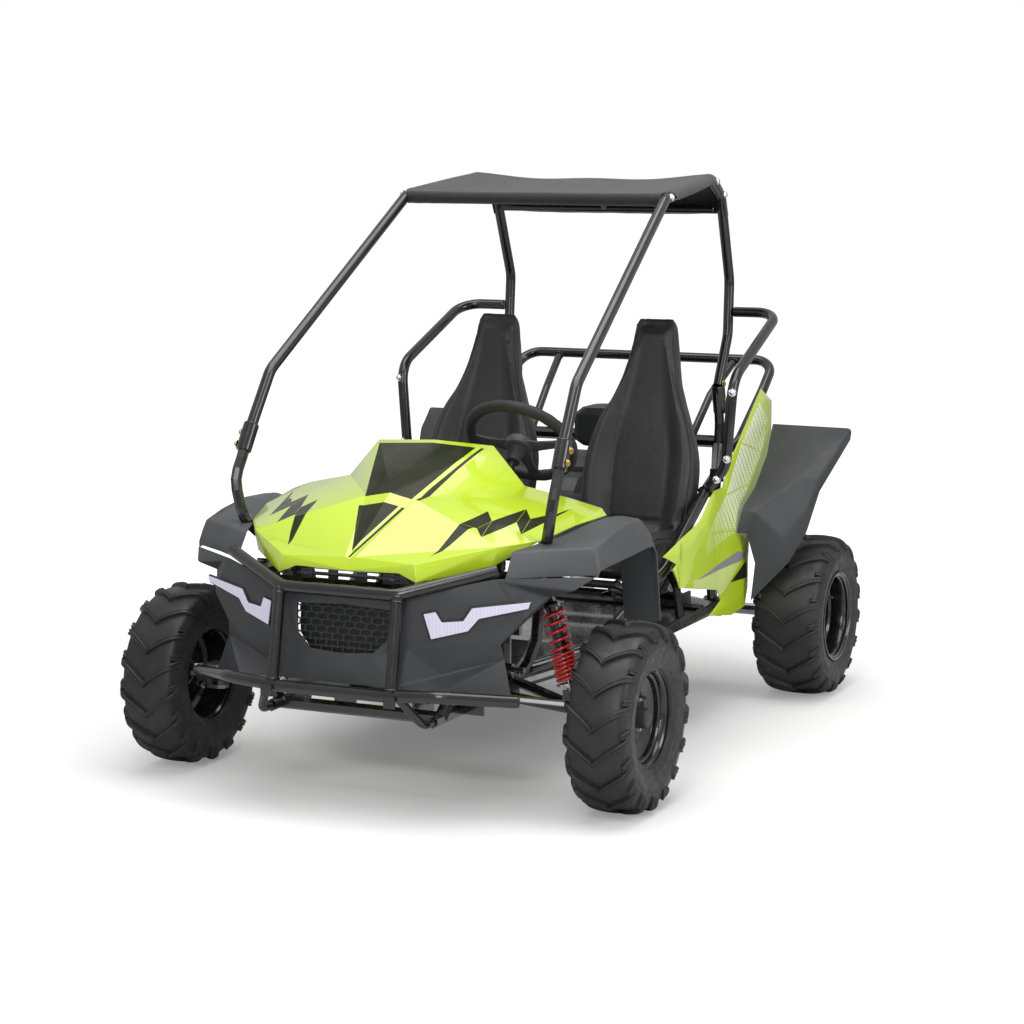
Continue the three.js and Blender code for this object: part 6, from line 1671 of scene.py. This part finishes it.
def surface_of(*names):
    """The named pieces' faces, to seat what is sewn or fixed on them."""
    bm = bmesh.new()
    for name in names:
        bm.from_mesh(bpy.data.objects[name].data)
    tree = BVHTree.FromBMesh(bm)
    bm.free()
    return tree


def on_surface(tree, point, lift):
    """The nearest place on the surface, lifted off it by metres, in millimetres."""
    place, normal, _, _ = tree.find_nearest(spot(*point))
    return in_mm(place + normal * lift)


def stitch_marks(tree, paths, pitch=6.5):
    """Marks a pitch apart along paths on the cover."""
    marks = []
    for path in paths:
        fine = curved([on_surface(tree, p, 0.0003) for p in path], 4)
        gone = 0
        for a, b in zip(fine, fine[1:]):
            gone += (b - a).length
            if gone > pitch:
                gone = 0
                marks.append((a, b - a))
    return marks


def seats():
    cover, stations = seat_cover()
    tree = surface_of(cover.name)
    first, last = 2, 68
    welt_lines, stitch_lines = [], []
    for side in SIDES.values():
        welt_lines.append(seat_line(stations, WELT_SHARES, side, range(first, last + 1)))
        for share in (0.47, 0.53):
            stitch_lines.append(seat_line(stations, (share, GROOVE_SHARES[1]), side, range(9, 48)))
    head = [seat_point(stations, last, a / 10, WELT_SHARES[1]) for a in range(9, -10, -1)]
    welt = [on_surface(tree, p, 0.0004) for p in welt_lines[0] + head + welt_lines[1][::-1]]
    left_marks = stitch_marks(tree, stitch_lines)
    for side, sign in SIDES.items():
        mesh = cover.data.copy()
        if sign < 0:
            for vertex in mesh.vertices:
                vertex.co.x = -vertex.co.x
            mesh.flip_normals()
        seat = thing_of(f"{side}_seat_cover", mesh, [])
        placed(shaded(seat, 60), "chassis", f"{side}_seat")
        piping = swept(Shape(), curved(welt, 2), circle(2.3, 10)).on(sign)
        piece(f"{side}_seat_piping", piping, "chassis", VINYL, slot="black_vinyl")
        marks = on_side(left_marks, sign)
        heads(f"{side}_seat_stitches", marks, "chassis", STITCH, THREAD)
    mesh = cover.data
    bpy.data.objects.remove(cover)
    bpy.data.meshes.remove(mesh)


STITCH_SHAPE = [(-2.2, 0), (-1.9, 0.45), (0, 0.62), (1.9, 0.45), (2.2, 0)]
THREAD = moulded_plastic("seam thread", "2b2c2f", 0.55)
STITCH = pattern("stitch_pattern", turned(Shape(), STITCH_SHAPE, ORIGIN, UP, steps=6), THREAD)


# Canopy

ROOF_LINE = [
    (334, 694, 1256), (334, 712, 1260), (330, 775, 1267),
    (326, 860, 1276), (320, 940, 1285), (313, 1010, 1292),
    (309, 1050, 1296), (306, 1085, 1289), (305, 1112, 1274), (304, 1142, 1256), (303, 1166, 1206),
]
FRONT_BAR_END = (321, 694, 1256)
CLOTH_STANDS = 14.2  # the cloth's distance from the tubes' middle lines
ROLL_STEPS, LIP_STEPS, ACROSS_STEPS, TAIL_STEPS = 15, 9, 40, 12
HEM_ROWS, HEM_LIFT = 3, 1.1


def roof_stations():
    """(centre, normal, wrap) from the roll under the front bar, over the tubes' line, to the tail."""
    line = curved(ROOF_LINE[1:-2], 7) + curved(ROOF_LINE[-3:], 9)[9:]
    stations = []
    for k in range(ROLL_STEPS):
        turn = math.radians(-112 + 202 * k / (ROLL_STEPS - 1))
        stations.append((Vector(FRONT_BAR_END), Vector((0, -math.cos(turn), math.sin(turn))), 0.0))
    for k, point in enumerate(line):
        ahead = line[min(k + 1, len(line) - 1)] - line[max(k - 1, 0)]
        normal = Vector((0, -ahead.z, ahead.y)).normalized()
        stations.append((point, normal, max(0, min(1, (point.y - 700) / 45))))
    return stations


def roof_lip(centre, normal, wrap):
    """The cloth's edge on the left: wrapped round the side tube, or flat where it isn't yet."""
    if wrap < 0.02:
        step = 0.7
        lift = normal * CLOTH_STANDS
        return [centre + lift + Vector(((LIP_STEPS - s) * step, 0, 0)) for s in range(LIP_STEPS)]
    lip = []
    for s in range(LIP_STEPS):
        turn = math.radians(90 - (90 + 42) * wrap * (LIP_STEPS - s) / LIP_STEPS)
        lift = CLOTH_STANDS + (HEM_LIFT if s < 2 and wrap > 0.4 else 0)
        lip.append(centre + Vector((math.cos(turn) * lift, 0, 0)) + normal * math.sin(turn) * lift)
    return lip


def roof_span(centre, normal, k, tail):
    """The cloth between the side tubes at a station: it sags, and folds run in from the tubes."""
    span = []
    for c in range(ACROSS_STEPS + 1):
        share = 2 * c / ACROSS_STEPS - 1
        a = abs(share)
        sag = 12.5 * (1 - a**2.2) + 4.5 * math.sin(math.pi * min(1, a * 1.02)) ** 2
        if k < ROLL_STEPS:
            sag *= 0.1 * k / (ROLL_STEPS - 1)
        sag *= 1 - 0.55 * tail
        fold = 1.3 * math.sin(share * 46 + k * 0.35) * max(0, a - 0.55) * (1.6 if k < 20 else 0.5)
        fold += 0.8 * math.sin(share * 23 + 1.2) * tail
        middle = Vector((share * centre.x, centre.y, centre.z))
        span.append(middle + normal * (CLOTH_STANDS - sag + fold))
    return span


def along(line):
    return sum((b - a).length for a, b in zip(line, line[1:]))


def canopy():
    """One sheet: rolled over the front bar, stretched over the side tubes and down past the rear bar."""
    stations = roof_stations()
    total = len(stations)
    rows = []
    for k, (centre, normal, wrap) in enumerate(stations):
        lip = roof_lip(centre, normal, wrap)
        tail = max(0, (k - total + TAIL_STEPS) / TAIL_STEPS)
        far_lip = [Vector((-p.x, p.y, p.z)) for p in lip]
        rows.append(far_lip + roof_span(centre, normal, k, tail) + lip[::-1])
    for k in [*range(HEM_ROWS), *range(total - HEM_ROWS, total)]:
        normal = stations[k][1]
        rows[k] = [p + normal * HEM_LIFT for p in rows[k]]
    mesh = grid(Shape(), rows).mesh("roof_sheet")
    top = max(mesh.polygons, key=lambda f: f.center.z)
    if top.normal.z < 0:
        mesh.flip_normals()
    modifiers = (
        ("SUBSURF", {"levels": 1, "render_levels": 1}),
        ("SOLIDIFY", {"thickness": 0.0018, "offset": 0.0}),
    )
    role = {"slot": "roof_cloth", "instead_of": "canopy", "crease": 70, "outward": False}
    sheet = piece("roof_sheet", mesh, "chassis", CLOTH, modifiers=modifiers, **role)
    marks = []
    for k in (HEM_ROWS, total - HEM_ROWS - 1):
        seam = rows[k][LIP_STEPS : -LIP_STEPS + 1]
        for a, b in zip(seam, seam[1:]):
            for step in (-0.25, 0.25):
                marks.append(((a + b) / 2 + (b - a) * step, b - a))
    seam = heads("roof_hem_stitches", marks, "chassis", STITCH, THREAD)


seats()
canopy()


# Small fixings


JOINTS = [(378, -10, 728), (376, 8, 752), (300, 1163, 791), (300, 1172, 748), (300, 1178, 700)]
BAR_ENDS = [(436, 880, 800), (426, 877, 640), (400, 879, 590)]
ROOF_CORNERS = [(334, 702, 1258), (306, 1080, 1290), (305, 1140, 1256)]


def seated(surface, places, way, reach=0.08):
    """Marks where fixings that come in against the way meet the surface, within metres of each place."""
    way = Vector(way).normalized()
    marks = []
    for place in places:
        hit = surface.ray_cast(spot(*place) + way * reach, -way, 2 * reach)[0]
        if hit is not None:
            marks.append((in_mm(hit), way))
    return marks


def fixings():
    cage, hand = surface_of("left_cage_tube"), surface_of("left_hand_bar")
    joints = seated(cage, JOINTS, (1, 0, 0))
    bar_ends = seated(hand, BAR_ENDS, (0.5, -1, 0))
    corners = seated(cage, ROOF_CORNERS, (1, 0, 0.25))
    for side, sign in SIDES.items():
        sets = [
            (f"{side}_joint_bolts", joints, HEX_HEAD, ZINC),
            (f"{side}_hand_bar_bolts", bar_ends, DOME_HEAD, CHROME),
            (f"{side}_roof_corner_bolts", corners, DOME_HEAD, CHROME),
        ]
        for name, marks, copied, finish in sets:
            heads(name, on_side(marks, sign), "chassis", copied, finish)


fixings()


# CAD nodes that stay, floor, light and camera


STAYING = {
    "front_frame": BLACK, "rear_frame": BLACK, "floor_frame": BLACK, "swing_arm": BLACK,
    "throttle_pedal": BLACK, "brake_pedal": BLACK, "left_front_arm": BLACK, "right_front_arm": BLACK,
    "left_knuckle": CAST, "right_knuckle": CAST, "steering_rack": CAST, "engine": CAST,
    "left_tie_rod": STEEL, "right_tie_rod": STEEL, "lower_shaft": STEEL, "rear_axle": STEEL,
    "jackshaft": STEEL, "drive_chain": CHAIN_STEEL, "fuel_tank": BLACK_PLASTIC,
}
# Name, place, what it points at, width and height, watts
LIGHTS = [
    ("overhead", (0.3, -0.4, 3.4), (0, 0, 0.4), (3.0, 3.0), 82),
    ("front_strip", (1.0, -4.2, 2.4), (0, -0.4, 0.4), (1.2, 2.6), 52),
    ("side_strip", (4.2, -0.6, 2.2), (0, 0, 0.5), (1.4, 2.6), 54),
]
CAMERA_PLACE, CAMERA_YAW, CAMERA_PITCH, CAMERA_ROLL = (2.465, -5.4095, 1.387), -24.49, -8.26, 0.15
CAMERA_LENS, CAMERA_SENSOR = 89.69, 36
FLOOR_PALES_FROM, FLOOR_PALE_AT, FLOOR_GLOW_NEAR, FLOOR_GLOW_FAR = 0.45, 2.4, 0.1, 0.8
BACKDROP, FILL_LIGHT, MIRRORED_SHARE = 1.0, 0.36, 0.35


def dress_nodes():
    """Gives every CAD node that still shows its finish and rounded shading."""
    for name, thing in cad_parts.items():
        if thing.hide_render:
            continue
        thing.data.materials.clear()
        thing.data.materials.append(STAYING[name])
        made = thing.modifiers.new("softened", "NODES")
        made.node_group = SOFTENED.tree
        made[SOFTENED.names["Crease"]] = math.radians(32)


def soft_box(name, place, aim, size, power):
    light = bpy.data.lights.new(name, "AREA")
    light.shape = "RECTANGLE"
    light.size, light.size_y = size
    light.energy = power
    thing = bpy.data.objects.new(name, light)
    thing.location = place
    thing.rotation_euler = (Vector(aim) - Vector(place)).to_track_quat("-Z", "Y").to_euler()
    bpy.context.scene.collection.objects.link(thing)


def floor():
    """A pale floor that glows a little towards its far edge, for the camera alone."""
    material = bpy.data.materials.new("pale floor")
    material.use_nodes = True
    nodes, links = material.node_tree.nodes, material.node_tree.links
    for node in list(nodes):
        nodes.remove(node)
    out = nodes.new("ShaderNodeOutputMaterial")
    plain = nodes.new("ShaderNodeBsdfDiffuse")
    plain.inputs["Color"].default_value = (0.8, 0.8, 0.8, 1)
    lift = nodes.new("ShaderNodeEmission")
    far = nodes.new("ShaderNodeVectorMath")
    far.operation = "LENGTH"
    links.new(nodes.new("ShaderNodeNewGeometry").outputs["Position"], far.inputs[0])
    paler = nodes.new("ShaderNodeMapRange")
    ramp = FLOOR_PALES_FROM, FLOOR_PALE_AT, FLOOR_GLOW_NEAR, FLOOR_GLOW_FAR
    for socket, value in zip(paler.inputs[1:5], ramp):
        socket.default_value = value
    links.new(far.outputs["Value"], paler.inputs[0])
    links.new(paler.outputs[0], lift.inputs["Strength"])
    seen = nodes.new("ShaderNodeLightPath")
    both = nodes.new("ShaderNodeAddShader")
    choice = nodes.new("ShaderNodeMixShader")
    links.new(plain.outputs[0], both.inputs[0])
    links.new(lift.outputs[0], both.inputs[1])
    links.new(seen.outputs["Is Camera Ray"], choice.inputs[0])
    links.new(plain.outputs[0], choice.inputs[1])
    links.new(both.outputs[0], choice.inputs[2])
    links.new(choice.outputs[0], out.inputs[0])
    mesh = bpy.data.meshes.new("floor")
    half = 30
    corners = [(-half, -half, 0), (half, -half, 0), (half, half, 0), (-half, half, 0)]
    mesh.from_pydata(corners, [], [(0, 1, 2, 3)])
    thing = thing_of("floor", mesh, [material])


def surroundings():
    """A white backdrop, dimmer as a light, and between the two in mirrors."""
    world = bpy.data.worlds.new("studio")
    bpy.context.scene.world = world
    world.use_nodes = True
    nodes, links = world.node_tree.nodes, world.node_tree.links
    for node in list(nodes):
        nodes.remove(node)
    out = nodes.new("ShaderNodeOutputWorld")
    seen = nodes.new("ShaderNodeLightPath")
    backdrop, light = nodes.new("ShaderNodeBackground"), nodes.new("ShaderNodeBackground")
    backdrop.inputs["Strength"].default_value = BACKDROP
    light.inputs["Strength"].default_value = FILL_LIGHT
    for node in (backdrop, light):
        node.inputs["Color"].default_value = (1, 1, 1, 1)
    mirrored = nodes.new("ShaderNodeMath")
    mirrored.operation = "MULTIPLY"
    mirrored.inputs[1].default_value = MIRRORED_SHARE
    links.new(seen.outputs["Is Glossy Ray"], mirrored.inputs[0])
    share = mirrored.outputs[0]
    for ray in ("Is Camera Ray", "Is Transmission Ray"):
        most = nodes.new("ShaderNodeMath")
        most.operation = "MAXIMUM"
        links.new(share, most.inputs[0])
        links.new(seen.outputs[ray], most.inputs[1])
        share = most.outputs[0]
    choice = nodes.new("ShaderNodeMixShader")
    links.new(share, choice.inputs[0])
    links.new(light.outputs[0], choice.inputs[1])
    links.new(backdrop.outputs[0], choice.inputs[2])
    links.new(choice.outputs[0], out.inputs[0])


def camera():
    lens = bpy.data.cameras.new("camera")
    lens.lens, lens.sensor_width = CAMERA_LENS, CAMERA_SENSOR
    lens.clip_end = 100
    thing = bpy.data.objects.new("camera", lens)
    yaw, pitch = math.radians(CAMERA_YAW), math.radians(CAMERA_PITCH)
    ahead = Vector((math.sin(yaw) * math.cos(pitch), math.cos(yaw) * math.cos(pitch), math.sin(pitch)))
    turn = ahead.to_track_quat("-Z", "Y").to_matrix() @ Matrix.Rotation(math.radians(CAMERA_ROLL), 3, "Z")
    thing.matrix_world = Matrix.Translation(CAMERA_PLACE) @ turn.to_4x4()
    bpy.context.scene.collection.objects.link(thing)
    bpy.context.scene.camera = thing


for thing in PATTERNS:
    bpy.data.objects.remove(thing)
dress_nodes()
floor()
surroundings()
for light in LIGHTS:
    soft_box(*light)
camera()
bpy.context.scene.view_settings.view_transform = "Standard"
